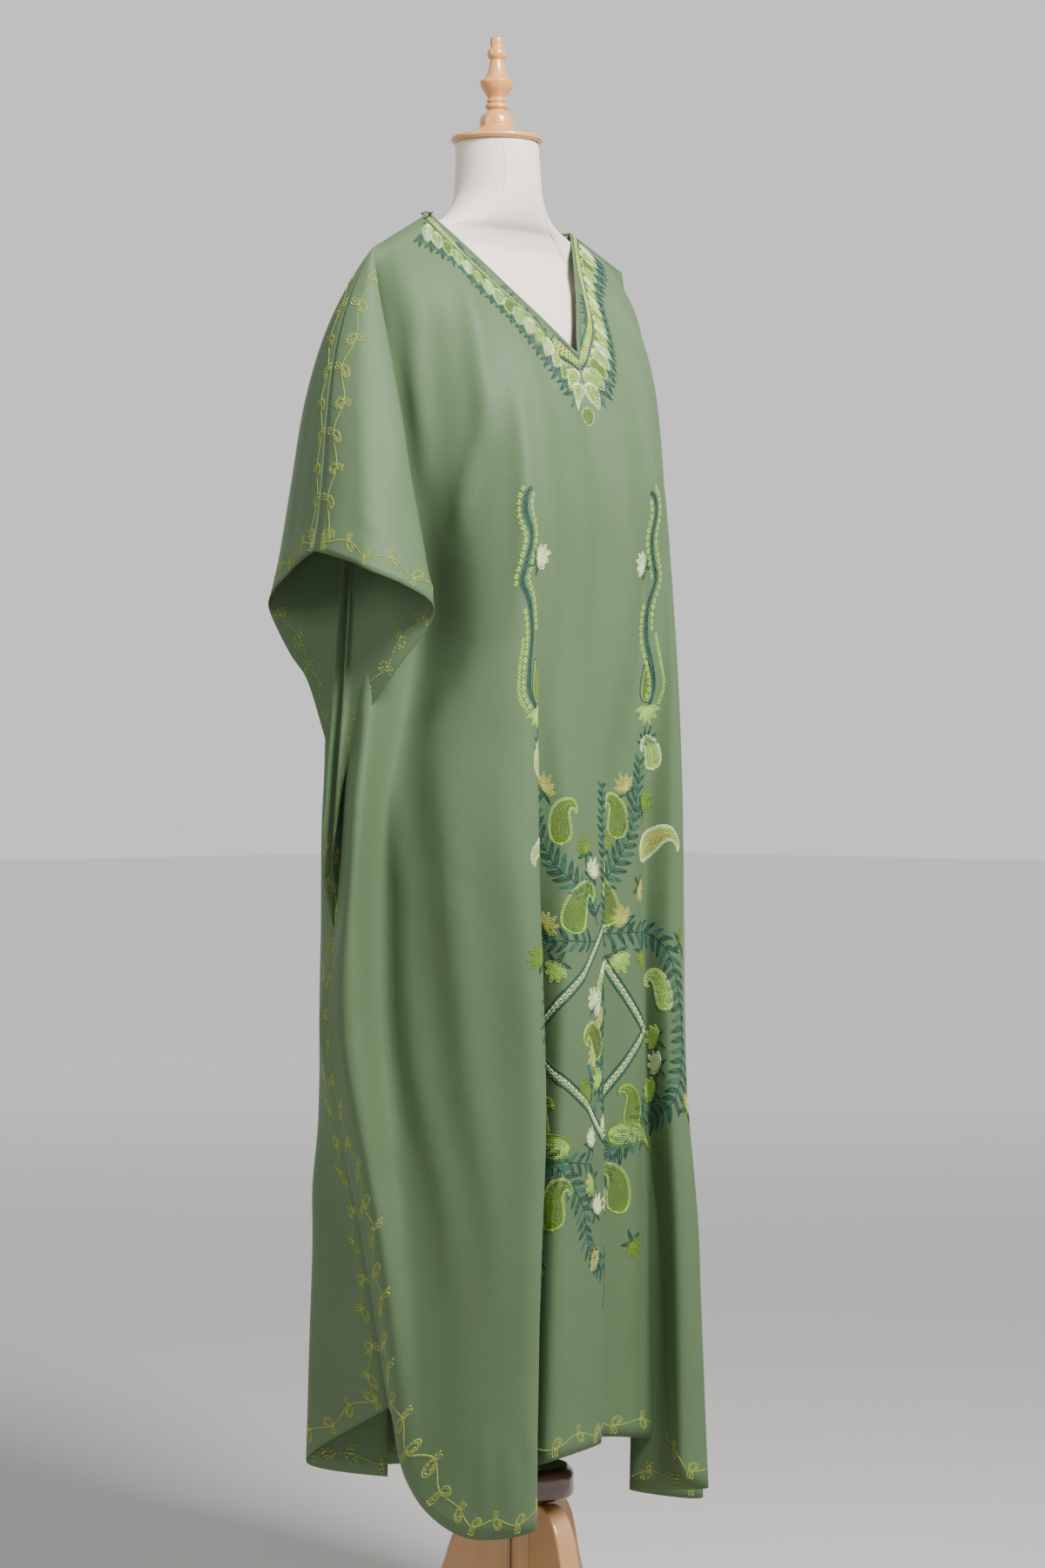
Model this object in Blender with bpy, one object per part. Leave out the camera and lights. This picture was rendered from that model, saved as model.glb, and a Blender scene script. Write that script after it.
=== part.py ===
"""A kaftan on a wooden dress form stand: the solids, at real size, metres, +Z up.

The kaftan is two big oblongs of crepe, front and back, each cut in one with its sleeves.
They meet along the shoulders and arms and again down the sides, below the hand openings.
The wearer faces -Y and their right arm, the "near" side of the tables, is at -X.
Tables are in millimetres, measured from the stand's pole and from the floor.
"""
import math

import bmesh
import bpy
import numpy as np
from mathutils import Vector

for old in list(bpy.data.objects):
    bpy.data.objects.remove(old, do_unlink=True)

MM = 0.001
WALL = 1.4          # crepe with its pressed turnings
SEAM_STEP = 0.75    # each panel stops this far from a shoulder or arm seam
SIDE_STEP = 1.35    # and this far from the other panel down the side
SIDE_LAP = 2.0      # how far one side edge passes the other
TURNING = 6.0       # the turned edge along the neck and shoulders


# Lines and sheets

def smooth_line(points, counts):
    """Points along a smooth curve through the given ones, counts[k] steps in each gap."""
    points = np.array(points, dtype=float)
    first = 2 * points[0] - points[1]
    last = 2 * points[-1] - points[-2]
    padded = np.vstack([first, points, last])
    knots = [0.0]
    for a, b in zip(padded[:-1], padded[1:]):
        knots.append(knots[-1] + max(np.linalg.norm(b - a), 1e-6) ** 0.5)
    line = [points[0]]
    for k, count in enumerate(counts):
        t0, t1, t2, t3 = knots[k:k + 4]
        p0, p1, p2, p3 = padded[k:k + 4]
        for step in range(1, count + 1):
            t = t1 + (t2 - t1) * step / count
            a1 = (t1 - t) / (t1 - t0) * p0 + (t - t0) / (t1 - t0) * p1
            a2 = (t2 - t) / (t2 - t1) * p1 + (t - t1) / (t2 - t1) * p2
            a3 = (t3 - t) / (t3 - t2) * p2 + (t - t2) / (t3 - t2) * p3
            b1 = (t2 - t) / (t2 - t0) * a1 + (t - t0) / (t2 - t0) * a2
            b2 = (t3 - t) / (t3 - t1) * a2 + (t - t1) / (t3 - t1) * a3
            line.append((t2 - t) / (t2 - t1) * b1 + (t - t1) / (t2 - t1) * b2)
    return np.array(line)


def even_line(points, count, lead=0.0):
    """The same smooth curve cut into equal lengths, after a first short one if lead is given."""
    fine = smooth_line(points, [12] * (len(points) - 1))
    run = np.concatenate([[0], np.cumsum(np.linalg.norm(np.diff(fine, axis=0), axis=1))])
    if lead:
        wanted = np.concatenate([[0], np.linspace(lead, run[-1], count)])
    else:
        wanted = np.linspace(0, run[-1], count + 1)
    return np.column_stack([np.interp(wanted, run, fine[:, axis]) for axis in range(3)])


def vertex_normals(points, faces):
    normals = np.zeros_like(points)
    for face in faces:
        corners = points[list(face)]
        across = np.cross(corners[2] - corners[0], corners[-1] - corners[1])
        for corner in face:
            normals[corner] += across
    lengths = np.linalg.norm(normals, axis=1, keepdims=True)
    return normals / np.maximum(lengths, 1e-9)


def walled(points, faces, wall):
    """A closed shell around a sheet: one skin out, one in, and a rim round every edge."""
    normals = vertex_normals(points, faces)
    count = len(points)
    skins = np.vstack([points + normals * wall / 2, points - normals * wall / 2])
    shell = [tuple(face) for face in faces]
    shell += [tuple(count + corner for corner in reversed(face)) for face in faces]
    used = set()
    for face in faces:
        for a, b in zip(face, face[1:] + face[:1]):
            used.add((a, b))
    for a, b in sorted(used):
        if (b, a) not in used:
            shell.append((b, a, count + a, count + b))
    return skins, shell


def add_solid(name, points, faces):
    mesh = bpy.data.meshes.new(name)
    mesh.from_pydata([Vector(p) * MM for p in np.array(points)], [], faces)
    bm = bmesh.new()
    bm.from_mesh(mesh)
    bmesh.ops.triangulate(bm, faces=bm.faces[:])
    bm.to_mesh(mesh)
    bm.free()
    solid = bpy.data.objects.new(name, mesh)
    bpy.context.scene.collection.objects.link(solid)
    return solid


# The cut of a panel, flat: distances across from the middle and down from the shoulder

NECK_HALF = 117      # the neck opening reaches this far out along the shoulder
SHOULDER_END = 205   # where the cloth leaves the form
HALF_WIDTH = 560     # middle to hand opening
CUFF_DROP = 680      # hand opening, down from the arm seam

# The neck and shoulder seams on the form: x, y, z
V_BOTTOM = (0, -80, 1502)
NECK_BACK = (0, 92, 1650)
NECK_NEAR = (-117, 45, 1667)
NECK_FAR = (117, 45, 1667)
SHOULDER_NEAR = (-202, 45, 1620)
SHOULDER_FAR = (202, 45, 1630)

# Where each side seam starts, below the hand opening
UNDERARM_NEAR = (-259, 46, 857)
UNDERARM_FAR = (254, 44, 866)


def top_point(side, part, panel):
    """A point on a panel's top edge: 0 at the middle of the neck, 1 at the shoulder
    seam's start, 2 at its end. side is -1 for the near half and 1 for the far half."""
    neck = np.array(NECK_NEAR if side < 0 else NECK_FAR, dtype=float)
    shoulder = np.array(SHOULDER_NEAR if side < 0 else SHOULDER_FAR, dtype=float)
    middle = np.array(V_BOTTOM if panel == "front" else NECK_BACK, dtype=float)
    if part <= 1:
        point = middle + (neck - middle) * part
        if panel == "back":
            round_neck = 1 - part
            point[1] = neck[1] + (middle[1] - neck[1]) * (1 - part ** 2)
            point[2] = neck[2] + (middle[2] - neck[2]) * round_neck ** 0.8
        else:
            point[1] -= 5 * math.sin(math.pi * part)
        return point
    return neck + (shoulder - neck) * (part - 1)


# The hanging folds. Each row is one line down the cloth, from the neck, shoulder or
# underarm to the hem: its place on the top edge, (x, y) at each height, (x, y, z) at the hem.
HEIGHTS = (1585, 1500, 1370, 1200, 1000, 750, 500)

FRONT_FOLDS = (
    ("near edge",   -1, 2.00, (), (-208, 10, 330)),
    ("near strip",  -1, 1.85, ((-200, 34), (-206, 26), (-212, 20), (-221, 15), (-264, -2), (-272, 8),
                               (-240, -12)), (-214, -20, 258)),
    ("near tuck",   -1, 1.65, ((-190, 14), (-188, 0), (-182, -6), (-166, 4), (-208, 14), (-219, 8),
                               (-214, -28)), (-212, -58, 219)),
    ("near face",   -1, 1.40, ((-160, -8), (-158, -38), (-153, -58), (-158, -78), (-187, -82),
                               (-187, -96), (-194, -103)), (-200, -110, 199)),
    ("near crest",  -1, 1.20, ((-128, -18), (-118, -68), (-118, -106), (-126, -121), (-134, -142),
                               (-144, -160), (-157, -169)), (-166, -173, 212)),
    ("near return", -1, 1.00, ((-104, -14), (-82, -80), (-90, -118), (-95, -121), (-94, -102),
                               (-90, -85), (-88, -72)), (-80, -52, 244)),
    ("middle lobe", -1, 0.48, (None, (-40, -84), (-50, -113), (-56, -110), (-62, -128),
                               (-82, -138), (-95, -137)), (-98, -128, 271)),
    ("middle",      +1, 0.00, (None, None, (0, -107), (0, -113), (0, -117), (0, -119),
                               (0, -118)), (0, -114, 278)),
    ("middle back", +1, 0.20, (None, (20, -83), (35, -113), (40, -115), (22, -103), (20, -95),
                               (22, -89)), (25, -87, 278)),
    ("far panel",   +1, 0.50, (None, (50, -84), (75, -113), (80, -101), (62, -106), (78, -105),
                               (70, -100)), (66, -97, 274)),
    ("far valley",  +1, 0.78, ((92, -14), (82, -80), (95, -116), (100, -112), (92, -100),
                               (100, -88), (110, -91)), (115, -98, 262)),
    ("far lobe",    +1, 1.00, ((108, -14), (104, -78), (108, -110), (113, -121), (108, -124),
                               (104, -122), (98, -142)), (92, -155, 232)),
    ("far crest",   +1, 1.18, ((126, -18), (120, -69), (124, -92), (123, -115), (122, -127),
                               (122, -127), (122, -150)), (124, -166, 218)),
    ("far return",  +1, 1.40, ((158, -8), (150, -45), (150, -62), (140, -85), (132, -84),
                               (112, -72), (105, -68)), (100, -65, 205)),
    ("far face",    +1, 1.65, ((188, 14), (178, -12), (180, -15), (182, -38), (184, -62),
                               (180, -66), (180, -90)), (180, -105, 190)),
    ("far strip",   +1, 1.85, ((200, 34), (200, 22), (206, 18), (216, 8), (250, 0),
                               (260, 6), (236, -12)), (214, -25, 206)),
    ("far edge",    +1, 2.00, (), (208, 10, 325)),
)

BACK_FOLDS = (
    ("near edge",   -1, 2.00, (), (-208, 10, 330)),
    ("near crest",  -1, 1.85, ((-200, 58), (-203, 75), (-212, 92), (-217, 96), (-233, 92),
                               (-217, 108), (-202, 143)), (-200, 157, 246)),
    ("near valley", -1, 1.60, ((-182, 82), (-168, 100), (-164, 98), (-166, 76), (-172, 82),
                               (-155, 50), (-145, 82)), (-140, 88, 232)),
    ("near fold",   -1, 1.30, ((-142, 98), (-124, 117), (-126, 130), (-131, 150), (-136, 172),
                               (-130, 168), (-126, 180)), (-125, 195, 226)),
    ("near hollow", -1, 1.00, ((-108, 102), (-84, 120), (-82, 118), (-82, 108), (-81, 122),
                               (-72, 76), (-71, 112)), (-70, 118, 236)),
    ("near ridge",  -1, 0.50, ((-60, 101), (-44, 119), (-45, 130), (-48, 155), (-48, 180),
                               (-45, 176), (-45, 192)), (-45, 205, 240)),
    ("middle",      +1, 0.00, ((0, 101), (0, 117), (0, 117), (0, 113), (0, 128), (0, 84),
                               (0, 118)), (0, 128, 244)),
    ("far ridge",   +1, 0.50, ((60, 101), (44, 119), (46, 131), (50, 158), (52, 178),
                               (50, 180), (48, 190)), (50, 203, 242)),
    ("far hollow",  +1, 1.00, ((108, 102), (84, 120), (83, 118), (84, 106), (84, 120),
                               (78, 82), (76, 110)), (78, 116, 236)),
    ("far fold",    +1, 1.30, ((142, 98), (124, 117), (127, 131), (134, 148), (140, 168),
                               (134, 172), (132, 176)), (132, 190, 228)),
    ("far valley",  +1, 1.60, ((182, 82), (168, 100), (165, 97), (168, 78), (174, 84),
                               (160, 56), (150, 78)), (146, 82, 234)),
    ("far crest",   +1, 1.85, ((200, 58), (203, 75), (211, 92), (215, 98), (226, 98),
                               (214, 112), (202, 136)), (200, 148, 248)),
    ("far edge",    +1, 2.00, (), (208, 10, 325)),
)

# The side edges below the underarm: x, y, z
NEAR_SIDE = (UNDERARM_NEAR, (-262, 63, 742), (-232, 34, 540), (-208, 10, 330))
FAR_SIDE = (UNDERARM_FAR, (252, 52, 742), (230, 30, 540), (208, 10, 325))

# The hand openings, from the end of the arm seam round to the underarm:
# distance along the opening, then x, y, z
NEAR_FRONT_CUFF = (
    (0, -308, 25, 1276), (30, -310, -4, 1270), (60, -306, -32, 1262), (105, -299, -55, 1252),
    (160, -262, -74, 1236), (215, -218, -72, 1212), (325, -236, -20, 1136), (390, -243, 15, 1091),
    (453, -249, 34, 1042), (502, -257, 38, 1002), (538, -262, 38, 973), (570, -266, 40, 947),
    (600, -266, 42, 922), (638, -259, 42, 892), (680, -259, 46, 857))
NEAR_BACK_CUFF = (
    (0, -308, 25, 1276), (60, -306, 56, 1262), (105, -296, 86, 1250), (160, -284, 120, 1236),
    (220, -259, 156, 1219), (250, -252, 152, 1199), (291, -244, 132, 1162), (318, -240, 116, 1143),
    (412, -240, 84, 1076), (455, -242, 68, 1042), (497, -252, 58, 1008), (544, -264, 58, 970),
    (600, -268, 56, 925), (638, -264, 52, 892), (680, -259, 46, 857))
FAR_FRONT_CUFF = (
    (0, 300, 100, 1290), (60, 296, 70, 1280), (105, 286, 45, 1268), (160, 272, 26, 1252),
    (215, 252, 20, 1222), (325, 246, 26, 1142), (390, 247, 30, 1096), (453, 250, 34, 1046),
    (538, 256, 38, 980), (600, 260, 40, 928), (680, 254, 44, 866))
FAR_BACK_CUFF = (
    (0, 300, 100, 1290), (60, 294, 130, 1280), (105, 284, 152, 1268), (160, 268, 172, 1252),
    (220, 244, 180, 1224), (291, 238, 150, 1170), (350, 238, 118, 1124), (412, 240, 92, 1078),
    (497, 248, 66, 1012), (544, 256, 58, 972), (600, 260, 54, 928), (680, 254, 44, 866))

# How far the sleeve stands off a straight pull from the shoulder, a third of the way
# down: along the arm seam, at the front crest, at the back crest
NEAR_BULGE = (19, 2, 27)
FAR_BULGE = (16, 4, 20)

ROWS_SLEEVE = 11     # rows from the shoulder to the underarm, the turned edge first
ROWS_SKIRT = 10      # rows from the underarm to the hem
STEPS_ACROSS = 2     # columns between two fold lines
CUFF_COLUMNS = 10    # columns round a hand opening


def fold_line(row, panel, side_lines):
    name, side, part, places, hem = row
    top = top_point(side, part, panel)
    if name.endswith("edge"):
        underarm_line = np.linspace(top, side_lines[side][0], ROWS_SLEEVE + 1)
        below = even_line(side_lines[side], ROWS_SKIRT)
        return np.vstack([underarm_line, below[1:]])
    points = [top]
    for height, place in zip(HEIGHTS, places):
        if place is not None and height < top[2] - 12:
            points.append((place[0], place[1], height))
    points.append(hem)
    return even_line(points, ROWS_SKIRT + ROWS_SLEEVE, TURNING if part < 1.3 else 0)


def sleeve_rays(shoulder, cuff, bulge, panel, side, step):
    """Straight pulls from the shoulder's end to the hand opening, arm seam first."""
    cuff = np.array(cuff, dtype=float)
    along = np.linspace(0, CUFF_DROP, CUFF_COLUMNS + 1)
    fine = smooth_line(cuff, [8] * (len(cuff) - 1))
    ends = np.column_stack([np.interp(along, fine[:, 0], fine[:, axis]) for axis in (1, 2, 3)])
    crest = bulge[1] if panel == "front" else bulge[2]
    rays = []
    for drop, end in zip(along, ends):
        stand = np.interp(drop, (0, 215, CUFF_DROP), (bulge[0], crest, 0))
        down = np.linspace(0, 1, ROWS_SLEEVE + 1)[:, None]
        ray = np.array(shoulder) + (end - np.array(shoulder)) * down
        ray += np.array((side * 0.707, 0.707, 0)) * stand * 6.75 * down * (1 - down) ** 2
        rays.append(ray)
    rays[0] = rays[0] + np.array((0, step, 0))
    return rays


def panel_sheet(panel):
    """The whole panel as one sheet of points and faces, outer side out."""
    folds = FRONT_FOLDS if panel == "front" else BACK_FOLDS
    away = -1 if panel == "front" else 1
    side_lines = {-1: NEAR_SIDE, 1: FAR_SIDE}
    lines = [fold_line(row, panel, side_lines) for row in folds]
    counts = [STEPS_ACROSS] * (len(folds) - 1)
    rows = ROWS_SLEEVE + ROWS_SKIRT
    grid = np.array([smooth_line([line[row] for line in lines], counts) for row in range(rows + 1)])
    marks = [row[1] * row[2] for row in folds]
    for column, mark in enumerate(np.interp(np.arange(grid.shape[1]) / STEPS_ACROSS,
                                            range(len(marks)), marks)):
        true_edge = top_point(-1 if mark < 0 else 1, abs(mark), panel)
        off_line = true_edge - grid[0, column]
        for row, share in enumerate((1.0, 1.0, 0.5)):
            grid[row, column] += share * off_line

    # Keep the two panels apart: a little gap along the shoulders, a lap down the sides.
    for row in range(rows + 1):
        lap = 0 if row <= ROWS_SLEEVE else -away * SIDE_LAP
        for column, side in ((0, -1), (-1, 1)):
            grid[row, column] += (-away * side * SIDE_STEP, lap, 0)
    for column, line in enumerate(grid[0]):
        if abs(line[0]) >= NECK_HALF - 1:
            grid[0, column, 1] += away * SEAM_STEP

    points = [tuple(p) for p in grid.reshape(-1, 3)]
    width = grid.shape[1]
    faces = []
    for row in range(rows):
        for column in range(width - 1):
            a = row * width + column
            face = (a, a + width, a + width + 1, a + 1)
            faces.append(face if panel == "front" else face[::-1])

    sleeves = ((-1, 0, SHOULDER_NEAR, NEAR_BULGE,
                NEAR_FRONT_CUFF if panel == "front" else NEAR_BACK_CUFF),
               (1, width - 1, SHOULDER_FAR, FAR_BULGE,
                FAR_FRONT_CUFF if panel == "front" else FAR_BACK_CUFF))
    for side, column, shoulder, bulge, cuff in sleeves:
        rays = sleeve_rays(shoulder, cuff, bulge, panel, side, away * SEAM_STEP)
        tip = column
        ids = []
        for ray in rays[:-1]:
            ids.append([tip] + list(range(len(points), len(points) + ROWS_SLEEVE)))
            points += [tuple(p) for p in ray[1:]]
        ids.append([row * width + column for row in range(ROWS_SLEEVE + 1)])
        for first, second in zip(ids[:-1], ids[1:]):
            for row in range(ROWS_SLEEVE):
                face = (first[row], first[row + 1], second[row + 1], second[row])
                if row == 0:
                    face = (tip, first[1], second[1])
                outward = (panel == "front") == (side < 0)
                faces.append(face if outward else face[::-1])
    return np.array(points, dtype=float), faces, grid


# Front and back panels

front_points, front_faces, front_grid = panel_sheet("front")
back_points, back_faces, back_grid = panel_sheet("back")
add_solid("kaftan_front", *walled(front_points, front_faces, WALL))
add_solid("kaftan_back", *walled(back_points, back_faces, WALL))


# Neck binding: a narrow rolled strip along the raw edge, right round the opening

BINDING_REACH = 4.5
BINDING_WALL = 2.0
BINDING_GAP = 0.85


def neck_run(grid, points, faces):
    """One panel's neck edge, the normals there, and the way off the cloth's edge."""
    normals = vertex_normals(points, faces)
    columns = [c for c in range(grid.shape[1]) if abs(grid[0, c, 0]) <= NECK_HALF + 1]
    run = []
    for column in columns:
        steps = [grid[0, c + 1] - grid[0, c] for c in (column - 1, column)
                 if c >= columns[0] and c < columns[-1]]
        along = sum(step / np.linalg.norm(step) for step in steps) / len(steps)
        off = np.cross(normals[column], along)
        if np.dot(off, grid[0, column] - grid[1, column]) < 0:
            off = -off
        # Round a corner the strip reaches further, so that its width stays the same.
        run.append([grid[0, column], normals[column], off / np.linalg.norm(off) ** 2])
    return run


def neck_binding():
    front = neck_run(front_grid, front_points, front_faces)
    back = neck_run(back_grid, back_points, back_faces)
    for end, neck, shoulder in ((0, NECK_NEAR, SHOULDER_NEAR), (-1, NECK_FAR, SHOULDER_FAR)):
        # At each shoulder seam the strip turns the corner, in line with the seam.
        up = front[end][1] + back[end][1]
        off = np.array(neck, dtype=float) - np.array(shoulder)
        for run in (front, back):
            run[end][1] = up / np.linalg.norm(up)
            run[end][2] = off / np.linalg.norm(off)
    points = []
    for edge, normal, off in front + back[::-1]:
        for reach, lift in ((BINDING_GAP, -1), (BINDING_REACH, -1), (BINDING_REACH, 1),
                            (BINDING_GAP, 1)):
            points.append(edge + off * reach + normal * lift * BINDING_WALL / 2)
    faces = []
    count = len(points) // 4
    for k in range(count):
        here = 4 * k
        after = 4 * ((k + 1) % count)
        for corner in range(4):
            other = (corner + 1) % 4
            faces.append((here + corner, here + other, after + other, after + corner))
    return points, faces


add_solid("neck_binding", *neck_binding())


# Dress form: body and neck in one, from level sections

# height, half width, front y, back y
FORM_SECTIONS = (
    (840, 140, -66, 90), (852, 150, -74, 96), (900, 162, -82, 104), (1000, 168, -86, 108),
    (1100, 150, -80, 96), (1210, 122, -68, 74), (1310, 136, -78, 84), (1400, 150, -86, 94),
    (1480, 158, -68, 98), (1540, 168, -40, 96), (1585, 176, -10, 84), (1612, 178, 16, 74),
    (1634, 157.5, 28, 66), (1656, 116, 22, 71), (1668, 84, 10, 82), (1682, 66, 4, 93),
    (1700, 54, 1, 98), (1725, 49.5, 1, 100), (1761, 48, 4, 100))
FORM_AROUND = 36
BUST_X = 86
BUST_HEIGHT = 1400
BUST_FULL = 26


def form_ring(height, half, front, back):
    ring = []
    for k in range(FORM_AROUND):
        turn = 2 * math.pi * k / FORM_AROUND
        x = half * math.cos(turn)
        y = (front + back) / 2 + (back - front) / 2 * math.sin(turn)
        if math.sin(turn) < 0:
            for breast in (-BUST_X, BUST_X):
                away = ((x - breast) / 46) ** 2 + ((height - BUST_HEIGHT) / 62) ** 2
                y -= BUST_FULL * math.exp(-away) * min(1, -2 * math.sin(turn))
        ring.append((x, y, height))
    return ring


def dress_form():
    table = np.array(FORM_SECTIONS, dtype=float)
    heights = []
    for low, high in zip(table[:-1, 0], table[1:, 0]):
        count = max(1, round((high - low) / 40))
        heights += list(np.linspace(low, high, count, endpoint=False))
    heights.append(table[-1, 0])
    points = []
    for height in heights:
        half, front, back = (np.interp(height, table[:, 0], table[:, k]) for k in (1, 2, 3))
        points += form_ring(height, half, front, back)
    faces = []
    for ring in range(len(heights) - 1):
        for k in range(FORM_AROUND):
            a = ring * FORM_AROUND + k
            b = ring * FORM_AROUND + (k + 1) % FORM_AROUND
            faces.append((a, b, b + FORM_AROUND, a + FORM_AROUND))
    top = (len(heights) - 1) * FORM_AROUND
    faces.append(tuple(reversed(range(FORM_AROUND))))
    faces.append(tuple(range(top, top + FORM_AROUND)))
    points = np.array(points)

    return points, faces


add_solid("form_body", *dress_form())


# Turned wood: cap and finial, pole, hub and post

def turned(name, profile, centre, around):
    """A solid of revolution; profile runs from the bottom to the top as (radius, height)."""
    points = [(centre[0], centre[1], profile[0][1])]
    for radius, height in profile:
        for k in range(around):
            turn = 2 * math.pi * k / around
            points.append((centre[0] + radius * math.cos(turn),
                           centre[1] + radius * math.sin(turn), height))
    points.append((centre[0], centre[1], profile[-1][1]))
    faces = []
    for k in range(around):
        after = (k + 1) % around
        faces.append((0, 1 + after, 1 + k))
        for ring in range(len(profile) - 1):
            a = 1 + ring * around + k
            b = 1 + ring * around + after
            faces.append((a, b, b + around, a + around))
        last = 1 + (len(profile) - 1) * around
        faces.append((last + k, last + after, len(points) - 1))
    return add_solid(name, points, faces)


NECK_TOP = 1761
CAP_BASE = NECK_TOP + 0.3
FINIAL = (
    (49.5, 0), (53, 2), (53.5, 4), (52.5, 6.5), (47, 8), (34, 10.5), (24, 14.5), (20, 19),
    (20, 21), (19.5, 27), (17.8, 32), (12, 37.5), (10.5, 38.5), (13.4, 41), (12.8, 45), (10.6, 46),
    (12.2, 48.5), (10.7, 52), (12.5, 56), (16, 61), (19, 67), (19.5, 72), (14.8, 74.5), (12, 80),
    (9.4, 88), (7.8, 95.5), (7.7, 96.5), (10.2, 99.5), (11, 104), (9.6, 108.8), (7.7, 110.2),
    (7.7, 121.5), (6.6, 122.5))
turned("cap_finial", [(r, CAP_BASE + h) for r, h in FINIAL], (0, 52), 20)

HUB_TOP = 240
HUB_BASE = 203
turned("hub", [(46, HUB_BASE), (51, HUB_BASE + 3), (52, HUB_BASE + 8), (52, HUB_TOP - 10),
               (49.5, HUB_TOP - 4), (44, HUB_TOP)], (0, 0), 32)
turned("pole", [(12, HUB_TOP + 0.3), (12, 840 - 0.3)], (0, 0), 20)
POST_RADIUS = 22
POST_BASE = 45
turned("post", [(POST_RADIUS - 3, POST_BASE), (POST_RADIUS, POST_BASE + 3),
                (POST_RADIUS, HUB_BASE - 0.3)], (0, 0), 28)


# Legs: three sawn boards, each with a bowed back, meeting the post edge-on

LEG_THICK = 25
LEG_TURNS = (135, 255, 15)
# outside of the board, from the top of the post to the floor, then back up underneath
LEG_SHAPE = (
    (22.3, 198), (48, 200), (66, 192), (80, 176), (90, 152), (99, 124), (114, 92), (138, 58),
    (168, 30), (205, 14), (214, 8), (216, 0), (160, 0), (132, 16), (104, 42), (80, 72), (58, 96),
    (38, 108), (22.3, 112))


def leg(name, turn_degrees):
    turn = math.radians(turn_degrees)
    out = np.array((math.cos(turn), math.sin(turn), 0))
    side = np.array((-math.sin(turn), math.cos(turn), 0))
    up = np.array((0, 0, 1))
    points = []
    for face in (-1, 1):
        for radius, height in LEG_SHAPE:
            points.append(out * radius + up * height + side * face * LEG_THICK / 2)
    count = len(LEG_SHAPE)
    faces = [tuple(reversed(range(count))), tuple(range(count, 2 * count))]
    for k in range(count):
        after = (k + 1) % count
        faces.append((k, after, count + after, count + k))
    return add_solid(name, points, faces)


for number, degrees in enumerate(LEG_TURNS, start=1):
    leg(f"leg_{number}", degrees)


# Stand the whole thing over the origin

corners = np.array([v.co for solid in bpy.data.objects for v in solid.data.vertices])
middle = (corners.min(axis=0) + corners.max(axis=0)) / 2
shift = Vector((-middle[0], -middle[1], -corners[:, 2].min()))
for solid in bpy.data.objects:
    for vertex in solid.data.vertices:
        vertex.co += shift
print("moved by", [round(v, 5) for v in shift])
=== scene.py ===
import math

import bmesh
import bpy
import numpy as np
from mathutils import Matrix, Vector


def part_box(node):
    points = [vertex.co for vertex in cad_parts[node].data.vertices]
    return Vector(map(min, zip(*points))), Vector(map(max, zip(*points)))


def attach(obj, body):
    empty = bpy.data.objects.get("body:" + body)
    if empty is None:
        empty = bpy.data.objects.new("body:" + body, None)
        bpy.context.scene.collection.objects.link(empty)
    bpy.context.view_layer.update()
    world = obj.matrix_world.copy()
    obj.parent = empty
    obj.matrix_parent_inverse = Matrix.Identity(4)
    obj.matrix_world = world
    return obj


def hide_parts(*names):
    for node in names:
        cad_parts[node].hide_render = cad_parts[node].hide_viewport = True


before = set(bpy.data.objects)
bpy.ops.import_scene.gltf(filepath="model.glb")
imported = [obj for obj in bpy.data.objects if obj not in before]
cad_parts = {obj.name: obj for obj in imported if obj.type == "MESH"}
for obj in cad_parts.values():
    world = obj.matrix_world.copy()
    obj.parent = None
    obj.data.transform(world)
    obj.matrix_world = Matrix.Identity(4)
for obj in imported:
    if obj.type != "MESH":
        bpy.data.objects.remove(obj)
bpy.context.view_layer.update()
MM = 0.001
pole_low, pole_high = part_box("pole")
POLE = Vector(((pole_low.x + pole_high.x) / 2, (pole_low.y + pole_high.y) / 2, 0.0))


# Studio
# A pale floor that brightens towards a plain backdrop by painted light (its colour fades from
# darker near the camera to paler far off, and it glows more the farther it is), one soft light
# high on the camera's right, a weaker fill from the left, and the camera at the photograph's
# angle: level, waist high, round to the wearer's right.
CAMERA_TURN = -45
CAMERA_AWAY = 4.25
CAMERA_HEIGHT = 1.04
PIXELS_TO_A_METRE_AT_POLE = 1000
HORIZON_ROW = 880
POLE_COLUMN = 607
PHOTO_WIDTH, PHOTO_HEIGHT = 1200, 1800

turn = math.radians(CAMERA_TURN)
towards_camera = Vector((math.sin(turn), -math.cos(turn), 0))
camera_right = Vector((math.cos(turn), math.sin(turn), 0))


def put(name, data):
    """An object of that name in the scene."""
    thing = bpy.data.objects.new(name, data)
    bpy.context.scene.collection.objects.link(thing)
    return thing


def aim(thing, way):
    thing.rotation_mode = "QUATERNION"
    thing.rotation_quaternion = way.to_track_quat("-Z", "Y")


camera_data = bpy.data.cameras.new("camera")
camera_data.sensor_width = 36
camera_data.lens = 36 * CAMERA_AWAY * PIXELS_TO_A_METRE_AT_POLE / PHOTO_HEIGHT
camera_data.shift_y = -(PHOTO_HEIGHT / 2 - HORIZON_ROW) / PHOTO_HEIGHT
camera = put("camera", camera_data)
off_centre = (POLE_COLUMN - PHOTO_WIDTH / 2) / PIXELS_TO_A_METRE_AT_POLE
camera.location = POLE + towards_camera * CAMERA_AWAY - camera_right * off_centre
camera.location.z = CAMERA_HEIGHT
aim(camera, -towards_camera)
bpy.context.scene.camera = camera


def fill(thing, values):
    """Set a node's inputs, by name or place."""
    for name, value in values.items():
        thing.inputs[name].default_value = value


def node(tree, kind, values=None, **settings):
    """A node in a row with the others, with its settings and then its inputs."""
    made = tree.nodes.new(kind)
    made.location = (200 * len(tree.nodes), 0)
    for key, value in settings.items():
        setattr(made, key, value)
    fill(made, values or {})
    return made


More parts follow.
